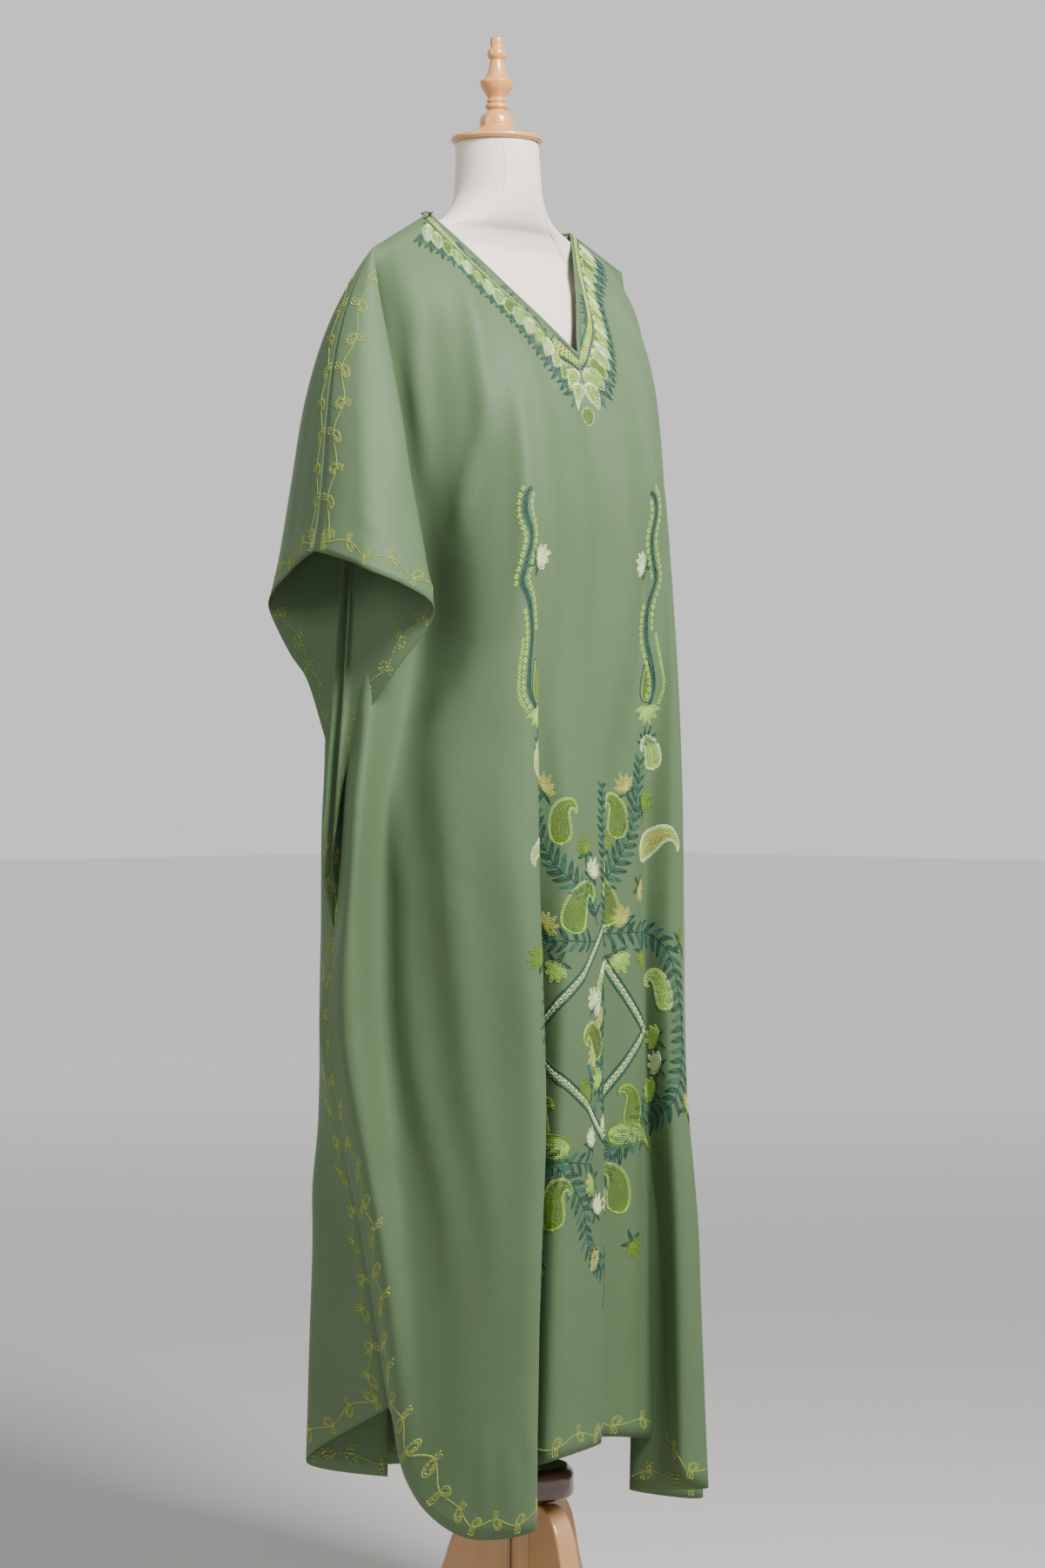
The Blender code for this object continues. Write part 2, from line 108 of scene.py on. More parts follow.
def join(tree, *links):
    for source, output, target, socket in links:
        tree.links.new(source.outputs[output], target.inputs[socket])


def finish(name, values):
    """A material with the plain values of its shader, and its tree and shader to add to."""
    material = bpy.data.materials.new(name)
    material.use_nodes = True
    shader = material.node_tree.nodes["Principled BSDF"]
    fill(shader, values)
    return material, material.node_tree, shader


FLOOR_REACH = 30.0
# painted light: the floor's colour runs from a shaded tone near the camera to a lit tone far off
FLOOR_NEAR_SHADED, FLOOR_FAR_LIT = (0.6, 0.585, 0.56, 1), (0.93, 0.93, 0.925, 1)
PALER_FROM, PALER_TO = 0.3, 9.0      # metres behind the pole
FLOOR_GLOW = 0.34      # how much painted glow brightens the floor towards the backdrop
STUDIO_WHITE = (1.0, 0.995, 0.985, 1)
floor_mesh = bpy.data.meshes.new("floor")
corners = ((-1, -1), (1, -1), (1, 1), (-1, 1))
floor_mesh.from_pydata([(x * FLOOR_REACH, y * FLOOR_REACH, 0) for x, y in corners], [], [(0, 1, 2, 3)])
floor = put("floor", floor_mesh)
# painted light on the floor: darker near the camera, paler and glowing (though it is no lamp) towards
# the backdrop
floor_painted_light, floor_tree, floor_shader = finish(
    "floor_painted_light", {"Roughness": 0.8, "Emission Color": STUDIO_WHITE})
place = node(floor_tree, "ShaderNodeTexCoord")
away = node(floor_tree, "ShaderNodeVectorMath", {1: -towards_camera}, operation="DOT_PRODUCT")
paler = node(floor_tree, "ShaderNodeMapRange", {"From Min": PALER_FROM, "From Max": PALER_TO},
             interpolation_type="SMOOTHSTEP")
glow = node(floor_tree, "ShaderNodeMath", {1: FLOOR_GLOW}, operation="MULTIPLY")
floor_colour = node(floor_tree, "ShaderNodeValToRGB")
floor_colour.color_ramp.elements[0].color = FLOOR_NEAR_SHADED
floor_colour.color_ramp.elements[1].color = FLOOR_FAR_LIT
join(floor_tree, (place, "Object", away, 0), (away, "Value", paler, "Value"),
     (paler, "Result", floor_colour, "Fac"), (paler, "Result", glow, 0),
     (glow, "Value", floor_shader, "Emission Strength"),
     (floor_colour, "Color", floor_shader, "Base Color"))
floor_mesh.materials.append(floor_painted_light)

BACKDROP_BRIGHT, STUDIO_DIM = 0.86, 0.20
studio = bpy.data.worlds.new("studio")
studio.use_nodes = True
backdrop = studio.node_tree.nodes["Background"]
look = node(studio.node_tree, "ShaderNodeTexCoord")
towards_backdrop = node(studio.node_tree, "ShaderNodeVectorMath",
                    {1: (-towards_camera.x, -towards_camera.y, 0.25)}, operation="DOT_PRODUCT")
spread = node(studio.node_tree, "ShaderNodeMapRange",
              {"From Min": 0.2, "From Max": 0.95, "To Min": STUDIO_DIM, "To Max": BACKDROP_BRIGHT})
join(studio.node_tree, (look, "Generated", towards_backdrop, 0),
     (towards_backdrop, "Value", spread, "Value"),
     (spread, "Result", backdrop, "Strength"))
backdrop.inputs["Color"].default_value = STUDIO_WHITE
bpy.context.scene.world = studio

CHEST_HEIGHT = 1.1


def soft_light(name, side, forward, height, size, watts):
    """A square light, placed to the camera's right and towards the camera, aimed at the chest."""
    data = bpy.data.lights.new(name, "AREA")
    data.size = size
    data.energy = watts
    light = put(name, data)
    light.location = POLE + camera_right * side + towards_camera * forward + Vector((0, 0, height))
    aim(light, Vector((POLE.x, POLE.y, CHEST_HEIGHT)) - light.location)


soft_light("key_light", 1.25, 1.6, 3.05, 0.8, 200)
soft_light("fill_light", -2.5, 1.2, 2.6, 1.3, 34)


# Worn cloth: how it hangs
# Front and back are each one oblong of crepe, cut in one with the sleeves. Each row below is one
# line down the cloth, from the neck, shoulder or underarm to the hem: its place on the top edge
# (0 the middle of the neck, 1 and 2 the ends of the shoulder seam), (x, y) at each height, and
# (x, y, z) at the hem, in millimetres from the pole and the floor.
V_BOTTOM = (0, -80, 1502)
NECK_BACK = (0, 92, 1650)
NECK_POINTS = {-1: (-117, 45, 1667), 1: (117, 45, 1667)}
SHOULDER_ENDS = {-1: (-202, 45, 1620), 1: (202, 45, 1630)}
UNDERARMS = {-1: (-259, 46, 857), 1: (254, 44, 866)}

HEIGHTS = (1585, 1500, 1370, 1200, 1000, 750, 500)
FRONT_FOLDS = (
    ("near edge",   -1, 2.00, (), (-208, 10, 330)),
    ("near strip",  -1, 1.85, ((-200, 34), (-206, 26), (-212, 20), (-221, 15), (-264, -2), (-272, 8),
        (-240, -12)), (-214, -20, 258)),
    ("near tuck",   -1, 1.65, ((-190, 14), (-188, 0), (-182, -6), (-166, 4), (-208, 14), (-219, 8),
        (-214, -28)), (-212, -58, 219)),
    ("near face",   -1, 1.40, ((-160, -8), (-158, -38), (-153, -58), (-158, -78), (-187, -82),
        (-187, -96), (-194, -103)), (-200, -110, 199)),
    ("near crest",  -1, 1.20, ((-128, -18), (-118, -68), (-118, -106), (-126, -121), (-134, -142),
        (-144, -160), (-157, -169)), (-166, -173, 212)),
    ("near return", -1, 1.00, ((-104, -14), (-82, -80), (-90, -118), (-95, -121), (-94, -102),
        (-90, -85), (-88, -72)), (-80, -52, 244)),
    ("middle lobe", -1, 0.48, (None, (-40, -84), (-50, -113), (-56, -110), (-62, -128), (-82, -138),
        (-95, -137)), (-98, -128, 271)),
    ("middle",      +1, 0.00, (None, None, (0, -107), (0, -113), (0, -117), (0, -119), (0, -118)),
        (0, -114, 278)),
    ("middle back", +1, 0.20, (None, (20, -83), (35, -113), (40, -115), (22, -103), (20, -95),
        (22, -89)), (25, -87, 278)),
    ("far panel",   +1, 0.50, (None, (50, -84), (75, -113), (80, -101), (62, -106), (78, -105),
        (70, -100)), (66, -97, 274)),
    ("far valley",  +1, 0.78, ((92, -14), (82, -80), (95, -116), (100, -112), (92, -100), (100, -88),
        (110, -91)), (115, -98, 262)),
    ("far lobe",    +1, 1.00, ((108, -14), (104, -78), (108, -110), (113, -121), (108, -124),
        (104, -122), (98, -142)), (92, -155, 232)),
    ("far crest",   +1, 1.18, ((126, -18), (120, -69), (124, -92), (123, -115), (122, -127),
        (122, -127), (122, -150)), (124, -166, 218)),
    ("far return",  +1, 1.40, ((158, -8), (150, -45), (150, -62), (140, -85), (132, -84), (112, -72),
        (105, -68)), (100, -65, 205)),
    ("far face",    +1, 1.65, ((188, 14), (178, -12), (180, -15), (182, -38), (184, -62), (180, -66),
        (180, -90)), (180, -105, 190)),
    ("far strip",   +1, 1.85, ((200, 34), (200, 22), (206, 18), (216, 8), (250, 0), (260, 6),
        (236, -12)), (214, -25, 206)),
    ("far edge",    +1, 2.00, (), (208, 10, 325)),
)
BACK_FOLDS = (
    ("near edge",   -1, 2.00, (), (-208, 10, 330)),
    ("near crest",  -1, 1.85, ((-200, 58), (-203, 75), (-212, 92), (-217, 96), (-233, 92),
        (-217, 108), (-202, 143)), (-200, 157, 246)),
    ("near valley", -1, 1.60, ((-182, 82), (-168, 100), (-164, 98), (-166, 76), (-172, 82),
        (-155, 50), (-145, 82)), (-140, 88, 232)),
    ("near fold",   -1, 1.30, ((-142, 98), (-124, 117), (-126, 130), (-131, 150), (-136, 172),
        (-130, 168), (-126, 180)), (-125, 195, 226)),
    ("near hollow", -1, 1.00, ((-108, 102), (-84, 120), (-82, 118), (-82, 108), (-81, 122),
        (-72, 76), (-71, 112)), (-70, 118, 236)),
    ("near ridge",  -1, 0.50, ((-60, 101), (-44, 119), (-45, 130), (-48, 155), (-48, 180),
        (-45, 176), (-45, 192)), (-45, 205, 240)),
    ("middle",      +1, 0.00, ((0, 101), (0, 117), (0, 117), (0, 113), (0, 128), (0, 84), (0, 118)),
        (0, 128, 244)),
    ("far ridge",   +1, 0.50, ((60, 101), (44, 119), (46, 131), (50, 158), (52, 178), (50, 180),
        (48, 190)), (50, 203, 242)),
    ("far hollow",  +1, 1.00, ((108, 102), (84, 120), (83, 118), (84, 106), (84, 120), (78, 82),
        (76, 110)), (78, 116, 236)),
    ("far fold",    +1, 1.30, ((142, 98), (124, 117), (127, 131), (134, 148), (140, 168), (134, 172),
        (132, 176)), (132, 190, 228)),
    ("far valley",  +1, 1.60, ((182, 82), (168, 100), (165, 97), (168, 78), (174, 84), (160, 56),
        (150, 78)), (146, 82, 234)),
    ("far crest",   +1, 1.85, ((200, 58), (203, 75), (211, 92), (215, 98), (226, 98), (214, 112),
        (202, 136)), (200, 148, 248)),
    ("far edge",    +1, 2.00, (), (208, 10, 325)),
)
SIDE_EDGES = {-1: (UNDERARMS[-1], (-262, 63, 742), (-232, 34, 540), (-208, 10, 330)),
              1: (UNDERARMS[1], (252, 52, 742), (230, 30, 540), (208, 10, 325))}

# The hand openings, from the end of the arm seam round to the underarm: distance, x, y, z
CUFFS = {
    ("front", -1): (
        (0, -308, 25, 1276), (30, -310, -4, 1270), (60, -306, -32, 1262), (105, -299, -55, 1252),
        (160, -262, -74, 1236), (215, -218, -72, 1212), (325, -236, -20, 1136),
        (390, -243, 15, 1091), (453, -249, 34, 1042), (502, -257, 38, 1002), (538, -262, 38, 973),
        (570, -266, 40, 947), (600, -266, 42, 922), (638, -259, 42, 892), (680, -259, 46, 857)),
    ("back", -1): (
        (0, -308, 25, 1276), (60, -306, 56, 1262), (105, -296, 86, 1250), (160, -284, 120, 1236),
        (220, -259, 156, 1219), (250, -252, 152, 1199), (291, -244, 132, 1162),
        (318, -240, 116, 1143), (412, -240, 84, 1076), (455, -242, 68, 1042), (497, -252, 58, 1008),
        (544, -264, 58, 970), (600, -268, 56, 925), (638, -264, 52, 892), (680, -259, 46, 857)),
    ("front", 1): (
        (0, 300, 100, 1290), (60, 296, 70, 1280), (105, 286, 45, 1268), (160, 272, 26, 1252),
        (215, 252, 20, 1222), (325, 246, 26, 1142), (390, 247, 30, 1096), (453, 250, 34, 1046),
        (538, 256, 38, 980), (600, 260, 40, 928), (680, 254, 44, 866)),
    ("back", 1): (
        (0, 300, 100, 1290), (60, 294, 130, 1280), (105, 284, 152, 1268), (160, 268, 172, 1252),
        (220, 244, 180, 1224), (291, 238, 150, 1170), (350, 238, 118, 1124), (412, 240, 92, 1078),
        (497, 248, 66, 1012), (544, 256, 58, 972), (600, 260, 54, 928), (680, 254, 44, 866)),
}
# How far a sleeve stands off a straight pull: arm seam, front crest, back crest
BULGES = {-1: (19, 2, 27), 1: (16, 4, 20)}

# The cut, flat
NECK_HALF = 117
SHOULDER_HALF = 205
HALF_WIDTH = 560
CUFF_DROP = 680
V_DEPTH = 207
BACK_DEPTH = 25

CREPE = 0.8
SEAM_STEP = 0.35
SIDE_STEP = 0.7
SIDE_LAP = 2.0
ROWS_SLEEVE = 50
ROWS_SKIRT = 46
STEPS_ACROSS = 9
CUFF_COLUMNS = 54
ROWS_TO_SETTLE = 14      # rows below the top edge in which a fold leaves the edge's own line
LEAST_LEVEL = 0.3        # the least share of a step that still counts across or down the cut
CREST_DOWN = 215         # where along the hand opening a sleeve stands off most


def smooth_line(points, counts):
    """Points along a smooth curve through the given ones, counts[k] steps in each gap."""
    points = np.array(points, dtype=float)
    padded = np.vstack([2 * points[0] - points[1], points, 2 * points[-1] - points[-2]])
    knots = [0.0]
    for a, b in zip(padded[:-1], padded[1:]):
        knots.append(knots[-1] + max(np.linalg.norm(b - a), 1e-6) ** 0.5)
    line = [points[0]]
    for k, count in enumerate(counts):
        t0, t1, t2, t3 = knots[k:k + 4]
        p0, p1, p2, p3 = padded[k:k + 4]
        t = t1 + (t2 - t1) * np.arange(1, count + 1)[:, None] / count
        a1 = (t1 - t) / (t1 - t0) * p0 + (t - t0) / (t1 - t0) * p1
        a2 = (t2 - t) / (t2 - t1) * p1 + (t - t1) / (t2 - t1) * p2
        a3 = (t3 - t) / (t3 - t2) * p2 + (t - t2) / (t3 - t2) * p3
        b1 = (t2 - t) / (t2 - t0) * a1 + (t - t0) / (t2 - t0) * a2
        b2 = (t3 - t) / (t3 - t1) * a2 + (t - t1) / (t3 - t1) * a3
        line += list((t2 - t) / (t2 - t1) * b1 + (t - t1) / (t2 - t1) * b2)
    return np.array(line)


def run_along(line):
    """The distance of each point of a line from its start."""
    return np.concatenate([[0], np.cumsum(np.linalg.norm(np.diff(line, axis=0), axis=1))])


def at(line, run, wanted):
    """The points of a line at the wanted distances."""
    return np.stack([np.interp(wanted, run, column) for column in line.T], axis=-1)


def unit(rows):
    """Each row at length one."""
    return rows / np.maximum(np.linalg.norm(rows, axis=1, keepdims=True), 1e-9)


def even_line(points, count):
    """The same smooth curve, cut into equal lengths."""
    fine = smooth_line(points, [16] * (len(points) - 1))
    run = run_along(fine)
    return at(fine, run, np.linspace(0, run[-1], count + 1))


def top_point(side, part, panel):
    """A point on a panel's top edge, on the form."""
    neck = np.array(NECK_POINTS[side], dtype=float)
    if part > 1:
        return neck + (np.array(SHOULDER_ENDS[side]) - neck) * (part - 1)
    middle = np.array(V_BOTTOM if panel == "front" else NECK_BACK, dtype=float)
    point = middle + (neck - middle) * part
    if panel == "front":
        point[1] -= 5 * math.sin(math.pi * part)
    else:
        point[1] = neck[1] + (middle[1] - neck[1]) * (1 - part ** 2)
        point[2] = neck[2] + (middle[2] - neck[2]) * (1 - part) ** 0.8
    return point


def top_cut(part, panel):
    """The same point on the flat cut: distance from the middle and depth below the shoulder."""
    if part > 1:
        return NECK_HALF + (SHOULDER_HALF - NECK_HALF) * (part - 1), 0.0
    depth = V_DEPTH * (1 - part) if panel == "front" else BACK_DEPTH * (1 - part ** 2)
    return NECK_HALF * part, depth


def fold_line(row, panel):
    """One line down the cloth, in equal steps from the top edge to the hem."""
    name, side, part, places, hem = row
    top = top_point(side, part, panel)
    if name.endswith("edge"):
        upper = np.linspace(top, UNDERARMS[side], ROWS_SLEEVE + 1)
        return np.vstack([upper, even_line(SIDE_EDGES[side], ROWS_SKIRT)[1:]])
    points = [top]
    for height, place in zip(HEIGHTS, places):
        if place is not None and height < top[2] - 12:
            points.append((place[0], place[1], height))
    points.append(hem)
    return even_line(points, ROWS_SKIRT + ROWS_SLEEVE)


def sleeve_rays(side, panel, step):
    """Pulls from the shoulder's end to the hand opening, arm seam first, with their cut."""
    cuff = np.array(CUFFS[panel, side], dtype=float)
    shoulder = np.array(SHOULDER_ENDS[side], dtype=float)
    along = np.linspace(0, CUFF_DROP, CUFF_COLUMNS + 1)
    fine = smooth_line(cuff, [10] * (len(cuff) - 1))
    ends = at(fine[:, 1:], fine[:, 0], along)
    crest = BULGES[side][1 if panel == "front" else 2]
    down = np.linspace(0, 1, ROWS_SLEEVE + 1)[:, None]
    rays = []
    cuts = []
    for drop, end in zip(along, ends):
        stand = np.interp(drop, (0, CREST_DOWN, CUFF_DROP), (BULGES[side][0], crest, 0))
        ray = shoulder + (end - shoulder) * down
        ray += np.array((side * 0.707, 0.707, 0)) * stand * 6.75 * down * (1 - down) ** 2
        rays.append(ray)
        cuts.append(np.column_stack([SHOULDER_HALF + (HALF_WIDTH - SHOULDER_HALF) * down,
                                     drop * down]))
    rays[0] = rays[0] + np.array((0, step, 0))
    return rays, cuts


def sheet_normals(points, faces):
    """The way out of the sheet at each point."""
    normals = np.zeros_like(points)
    for face in faces:
        corners = points[list(face)]
        across = np.cross(corners[2] - corners[0], corners[-1] - corners[1])
        for corner in face:
            normals[corner] += across
    return unit(normals)


def hung_panel(panel):
    """Points, faces and flat cut (seen from outside, x to the right, y up) of a whole panel."""
    folds = FRONT_FOLDS if panel == "front" else BACK_FOLDS
    away = -1 if panel == "front" else 1
    lines = [fold_line(row, panel) for row in folds]
    counts = [STEPS_ACROSS] * (len(folds) - 1)
    rows = ROWS_SLEEVE + ROWS_SKIRT
    grid = np.array([smooth_line([line[row] for line in lines], counts) for row in range(rows + 1)])
    width = grid.shape[1]
    marks = np.interp(np.arange(width) / STEPS_ACROSS, range(len(folds)),
                      [row[1] * row[2] for row in folds])
    fade = np.clip(1 - np.arange(rows + 1) / ROWS_TO_SETTLE, 0, 1) ** 2
    for column, mark in enumerate(marks):
        edge = top_point(-1 if mark < 0 else 1, abs(mark), panel)
        grid[:, column] += fade[:, None] * (edge - grid[0, column])

    # The flat cut: down by the length of each column, across by the length of each row.
    middle = STEPS_ACROSS * [row[0] for row in folds].index("middle")
    cut = np.zeros((rows + 1, width, 2))
    for column, mark in enumerate(marks):
        out, depth = top_cut(abs(mark), panel)
        cut[0, column] = math.copysign(out, mark), depth
    for row in range(1, rows + 1):
        steps = np.linalg.norm(grid[row] - grid[row - 1], axis=1)
        rise = np.diff(cut[row - 1, :, 1] + steps)
        along = np.linalg.norm(np.diff(grid[row], axis=0), axis=1)
        level = np.sqrt(np.maximum(along ** 2 - rise ** 2, (LEAST_LEVEL * along) ** 2))
        run = np.concatenate([[0], np.cumsum(level)])
        run -= run[middle]
        edge_at = SHOULDER_HALF + (HALF_WIDTH - SHOULDER_HALF) * min(row / ROWS_SLEEVE, 1)
        for half in (slice(0, middle), slice(middle + 1, None)):
            reach = abs(run[half]).max()
            run[half] += np.sign(run[half]) * (edge_at - reach) * (abs(run[half]) / reach) ** 3
        cut[row, :, 0] = run
        slant = run - cut[row - 1, :, 0]
        cut[row, :, 1] = cut[row - 1, :, 1] + np.sqrt(np.maximum(steps ** 2 - slant ** 2,
                                                                 (LEAST_LEVEL * steps) ** 2))
    for column in (0, -1):
        cut[:ROWS_SLEEVE + 1, column, 1] = np.linspace(0, CUFF_DROP, ROWS_SLEEVE + 1)
        below = np.linalg.norm(np.diff(grid[ROWS_SLEEVE:, column], axis=0), axis=1)
        cut[ROWS_SLEEVE + 1:, column, 1] = CUFF_DROP + np.cumsum(below)

    for row in range(rows + 1):
        lap = 0 if row <= ROWS_SLEEVE else -away * SIDE_LAP
        for column, side in ((0, -1), (-1, 1)):
            grid[row, column] += (-away * side * SIDE_STEP, lap, 0)
    for column, mark in enumerate(marks):
        if abs(mark) >= 0.99:
            grid[0, column, 1] += away * SEAM_STEP

    points = list(grid.reshape(-1, 3))
    flat = list(cut.reshape(-1, 2))
    faces = []
    for row in range(rows):
        for column in range(width - 1):
            a = row * width + column
            face = (a, a + width, a + width + 1, a + 1)
            faces.append(face if panel == "front" else face[::-1])
    for side, column in ((-1, 0), (1, width - 1)):
        rays, cuts = sleeve_rays(side, panel, away * SEAM_STEP)
        ids = []
        for ray, ray_cut in zip(rays[:-1], cuts):
            ids.append([column] + list(range(len(points), len(points) + ROWS_SLEEVE)))
            points += list(ray[1:])
            flat += list(ray_cut[1:] * (side, 1))
        ids.append([row * width + column for row in range(ROWS_SLEEVE + 1)])
        for first, second in zip(ids[:-1], ids[1:]):
            for row in range(ROWS_SLEEVE):
                face = (first[row], first[row + 1], second[row + 1], second[row])
                if row == 0:
                    face = (column, first[1], second[1])
                faces.append(face if (panel == "front") == (side < 0) else face[::-1])
    flat = np.array(flat) * (1 if panel == "front" else -1, -1)
    return np.array(points), faces, flat, marks, grid


# Small folds and drag lines, laid over the hang: start and end across (to the viewer's right)
# and down the flat cut, half width, height
FRONT_DRAGS = (
    (-118, 40, -165, 300, 13, 7), (-186, 50, -250, 300, 15, 9), (-136, 225, -225, 360, 11, 7),
    (-112, 235, -150, 520, 13, 6), (-18, 265, -30, 640, 13, 5), (-72, 330, -92, 640, 12, 4),
    (38, 270, 48, 650, 13, 5), (84, 250, 98, 640, 12, 5), (-430, 520, -500, 1010, 24, 8),
    (-330, 500, -455, 1180, 22, 8), (-255, 520, -385, 1230, 22, 7), (-195, 620, -300, 1250, 20, 5),
    (-58, 660, -52, 1380, 13, 3), (60, 700, 70, 1380, 14, 3), (-225, 20, -470, 130, 15, 6),
    (-228, 40, -430, 330, 17, 7), (-226, 60, -400, 520, 18, 6), (225, 20, 470, 130, 15, 5),
    (228, 40, 430, 330, 17, 6), (130, 40, 170, 420, 13, 6), (190, 60, 260, 520, 16, 6),
    (-420, 1330, -440, 1440, 9, 3), (-385, 1350, -398, 1450, 8, 3), (-350, 1330, -355, 1455, 9, 3),
    (-500, 60, -545, 200, 9, 2.5), (-538, 6, -538, 330, 6, 4.5), (300, 560, 360, 1240, 22, 6),
    (200, 620, 230, 1250, 20, 5))
BACK_DRAGS = (
    (-150, 20, -190, 420, 14, 5), (-90, 30, -110, 520, 14, 4), (-30, 30, -40, 560, 14, 4),
    (40, 30, 30, 560, 14, 4), (96, 30, 110, 520, 14, 4), (150, 20, 190, 420, 14, 5),
    (-230, 30, -450, 200, 16, 6), (-228, 50, -420, 430, 18, 6), (230, 30, 450, 200, 16, 6),
    (228, 50, 420, 430, 18, 6), (-300, 540, -340, 1240, 20, 6), (-200, 560, -220, 1260, 18, 5),
    (-90, 600, -96, 1300, 16, 4), (90, 600, 100, 1300, 16, 4), (200, 560, 220, 1260, 18, 5),
    (300, 540, 340, 1240, 20, 6), (430, 560, 470, 1100, 20, 5), (-430, 560, -470, 1100, 20, 5))


# The small folds fade out near the shoulder line and the underarm (from, and over how far),
# and towards the hem and the side edges
TOP_CALM, UNDERARM_CALM = (25, 90), (90, 120)
HEM_DOWN, EDGE_CALM = 1450, 60


def draped(points, faces, flat, drags):
    """The sheet with its small folds raised and a faint unevenness all over."""
    raised = np.zeros(len(points))
    for x0, down0, x1, down1, half, high in drags:
        start = np.array((x0, -down0), dtype=float)
        way = np.array((x1, -down1), dtype=float) - start
        length = np.linalg.norm(way)
        way /= length
        along = (flat - start) @ way / length
        off = (flat - start) @ np.array((way[1], -way[0]))
        fade = np.sin(math.pi * np.clip(along, 0, 1)) ** 0.8
        raised += high * fade * np.exp(-(off / half) ** 2)
    across, down = flat[:, 0], flat[:, 1]
    raised += 0.7 * np.sin(across / 17 + 1.6 * np.sin(down / 120)) * np.sin(down / 210 + 1)
    raised += 0.5 * np.sin(across / 39 - down / 95 + 2 * np.sin(across / 150))
    calm = np.clip((-down - TOP_CALM[0]) / TOP_CALM[1], 0, 1)
    calm = calm * np.clip((HEM_DOWN + down) / EDGE_CALM, 0.3, 1)
    calm *= np.clip((HALF_WIDTH - abs(across)) / EDGE_CALM, 0, 1)
    underarm = np.hypot(abs(across) - HALF_WIDTH, down + CUFF_DROP)
    calm *= np.clip((underarm - UNDERARM_CALM[0]) / UNDERARM_CALM[1], 0, 1)
    return points + sheet_normals(points, faces) * (raised * calm)[:, None]


CUT_SPAN = 1500.0      # one unit of the cut map is this many millimetres
CUT_SHIFT = (600.0, 1500.0)


def placed(points):
    """From millimetres round the pole to metres in the frame."""
    return [Vector(p) * MM + Vector((POLE.x, POLE.y, 0)) for p in points]


def sheet_mesh(name, points, faces, flat):
    """A mesh that carries the flat cut as its map."""
    mesh = bpy.data.meshes.new(name)
    mesh.from_pydata(placed(points), [], faces)
    corners = np.zeros(len(mesh.loops), dtype=int)
    mesh.loops.foreach_get("vertex_index", corners)
    cut_map = mesh.uv_layers.new(name="cut")
    cut_map.data.foreach_set("uv", ((flat + CUT_SHIFT) / CUT_SPAN)[corners].ravel())
    return mesh


def shade(mesh, smooth):
    mesh.polygons.foreach_set("use_smooth", [smooth] * len(mesh.polygons))


def cloth_mesh(name, points, faces, flat, wall):
    """A closed shell round a sheet."""
    half = sheet_normals(points, faces) * wall / 2
    count = len(points)
    shell = [tuple(face) for face in faces] + [tuple(count + c for c in face[::-1]) for face in faces]
    used = set()
    for face in faces:
        used.update(zip(face, face[1:] + face[:1]))
    shell += [(b, a, count + a, count + b) for a, b in sorted(used) if (b, a) not in used]
    mesh = sheet_mesh(name, np.vstack([points + half, points - half]), shell, np.vstack([flat, flat]))
    shade(mesh, True)
    return put(name, mesh)


def outer_skin(name, points, faces, flat, lift):
    """The outside of a panel alone, which the stitches are laid on."""
    normals = sheet_normals(points, faces)
    mesh = sheet_mesh(name, points + normals * lift, faces, flat)
    outward = mesh.attributes.new("outward", "FLOAT_VECTOR", "POINT")
    outward.data.foreach_set("vector", normals.ravel())
    return put(name, mesh)


def cloudy_dye(tree, shader, source, output, light, dark, scale, detail):
    """Two shades of a colour in soft clouds."""
    cloud = node(tree, "ShaderNodeTexNoise", {"Scale": scale, "Detail": detail})
    dye = node(tree, "ShaderNodeMix", data_type="RGBA")
    fill(dye, {"A": (*dark, 1), "B": (*light, 1)})
    join(tree, (source, output, cloud, "Vector"), (cloud, "Fac", dye, "Factor"),
         (dye, "Result", shader, "Base Color"))


CREPE_LIGHT, CREPE_DARK = (0.098, 0.158, 0.077), (0.080, 0.132, 0.062)


def crepe_finish():
    """Sage green crepe: a pebbly weave too fine to see from afar, cloudy dye, soft sheen."""
    material, tree, shader = finish("sage_crepe", {
        "Roughness": 0.6, "Specular IOR Level": 0.22, "Sheen Weight": 0.10, "Sheen Roughness": 0.4,
        "Sheen Tint": (0.75, 0.9, 0.7, 1)})
    cut = node(tree, "ShaderNodeUVMap", uv_map="cut")
    cloudy_dye(tree, shader, cut, "UV", CREPE_LIGHT, CREPE_DARK, 14, 3)
    pebble = node(tree, "ShaderNodeTexNoise", {"Scale": 1600, "Detail": 1})
    crease = node(tree, "ShaderNodeTexNoise", {"Scale": 26, "Detail": 5, "Distortion": 0.6})
    weave_bump = node(tree, "ShaderNodeBump", {"Strength": 0.35, "Distance": 0.0003})
    crease_bump = node(tree, "ShaderNodeBump", {"Strength": 0.25, "Distance": 0.004})
    join(tree, (cut, "UV", pebble, "Vector"), (cut, "UV", crease, "Vector"),
         (pebble, "Fac", weave_bump, "Height"), (crease, "Fac", crease_bump, "Height"),
         (weave_bump, "Normal", crease_bump, "Normal"), (crease_bump, "Normal", shader, "Normal"))
    return material


crepe = crepe_finish()
skins = {}
worn = {}
for panel, cad_name in (("front", "kaftan_front"), ("back", "kaftan_back")):
    points, faces, flat, marks, grid = hung_panel(panel)
    points = draped(points, faces, flat, FRONT_DRAGS if panel == "front" else BACK_DRAGS)
    worn[panel] = (points, faces, flat, marks, grid)
    cloth = cloth_mesh(f"{panel}_panel", points, faces, flat, CREPE)
    cloth.data.materials.append(crepe)
    skins[panel] = outer_skin(f"{panel}_skin", points, faces, flat, CREPE / 2)
    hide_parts(cad_name)
    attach(cloth, "root")


# Embroidery: how the stitches are laid
# Hook-worked chain stitch in rayon thread. Every thread is drawn on the flat cut, x to the
# viewer's right and y up from the shoulder line, in millimetres, then laid on the worn cloth.
CHAIN_STEP = 3.0
FILL_STEP = 2.0
THREADS = ("teal", "pale_teal", "lime", "cream", "olive", "gold", "teal_line")
stitches = {thread: [] for thread in THREADS}


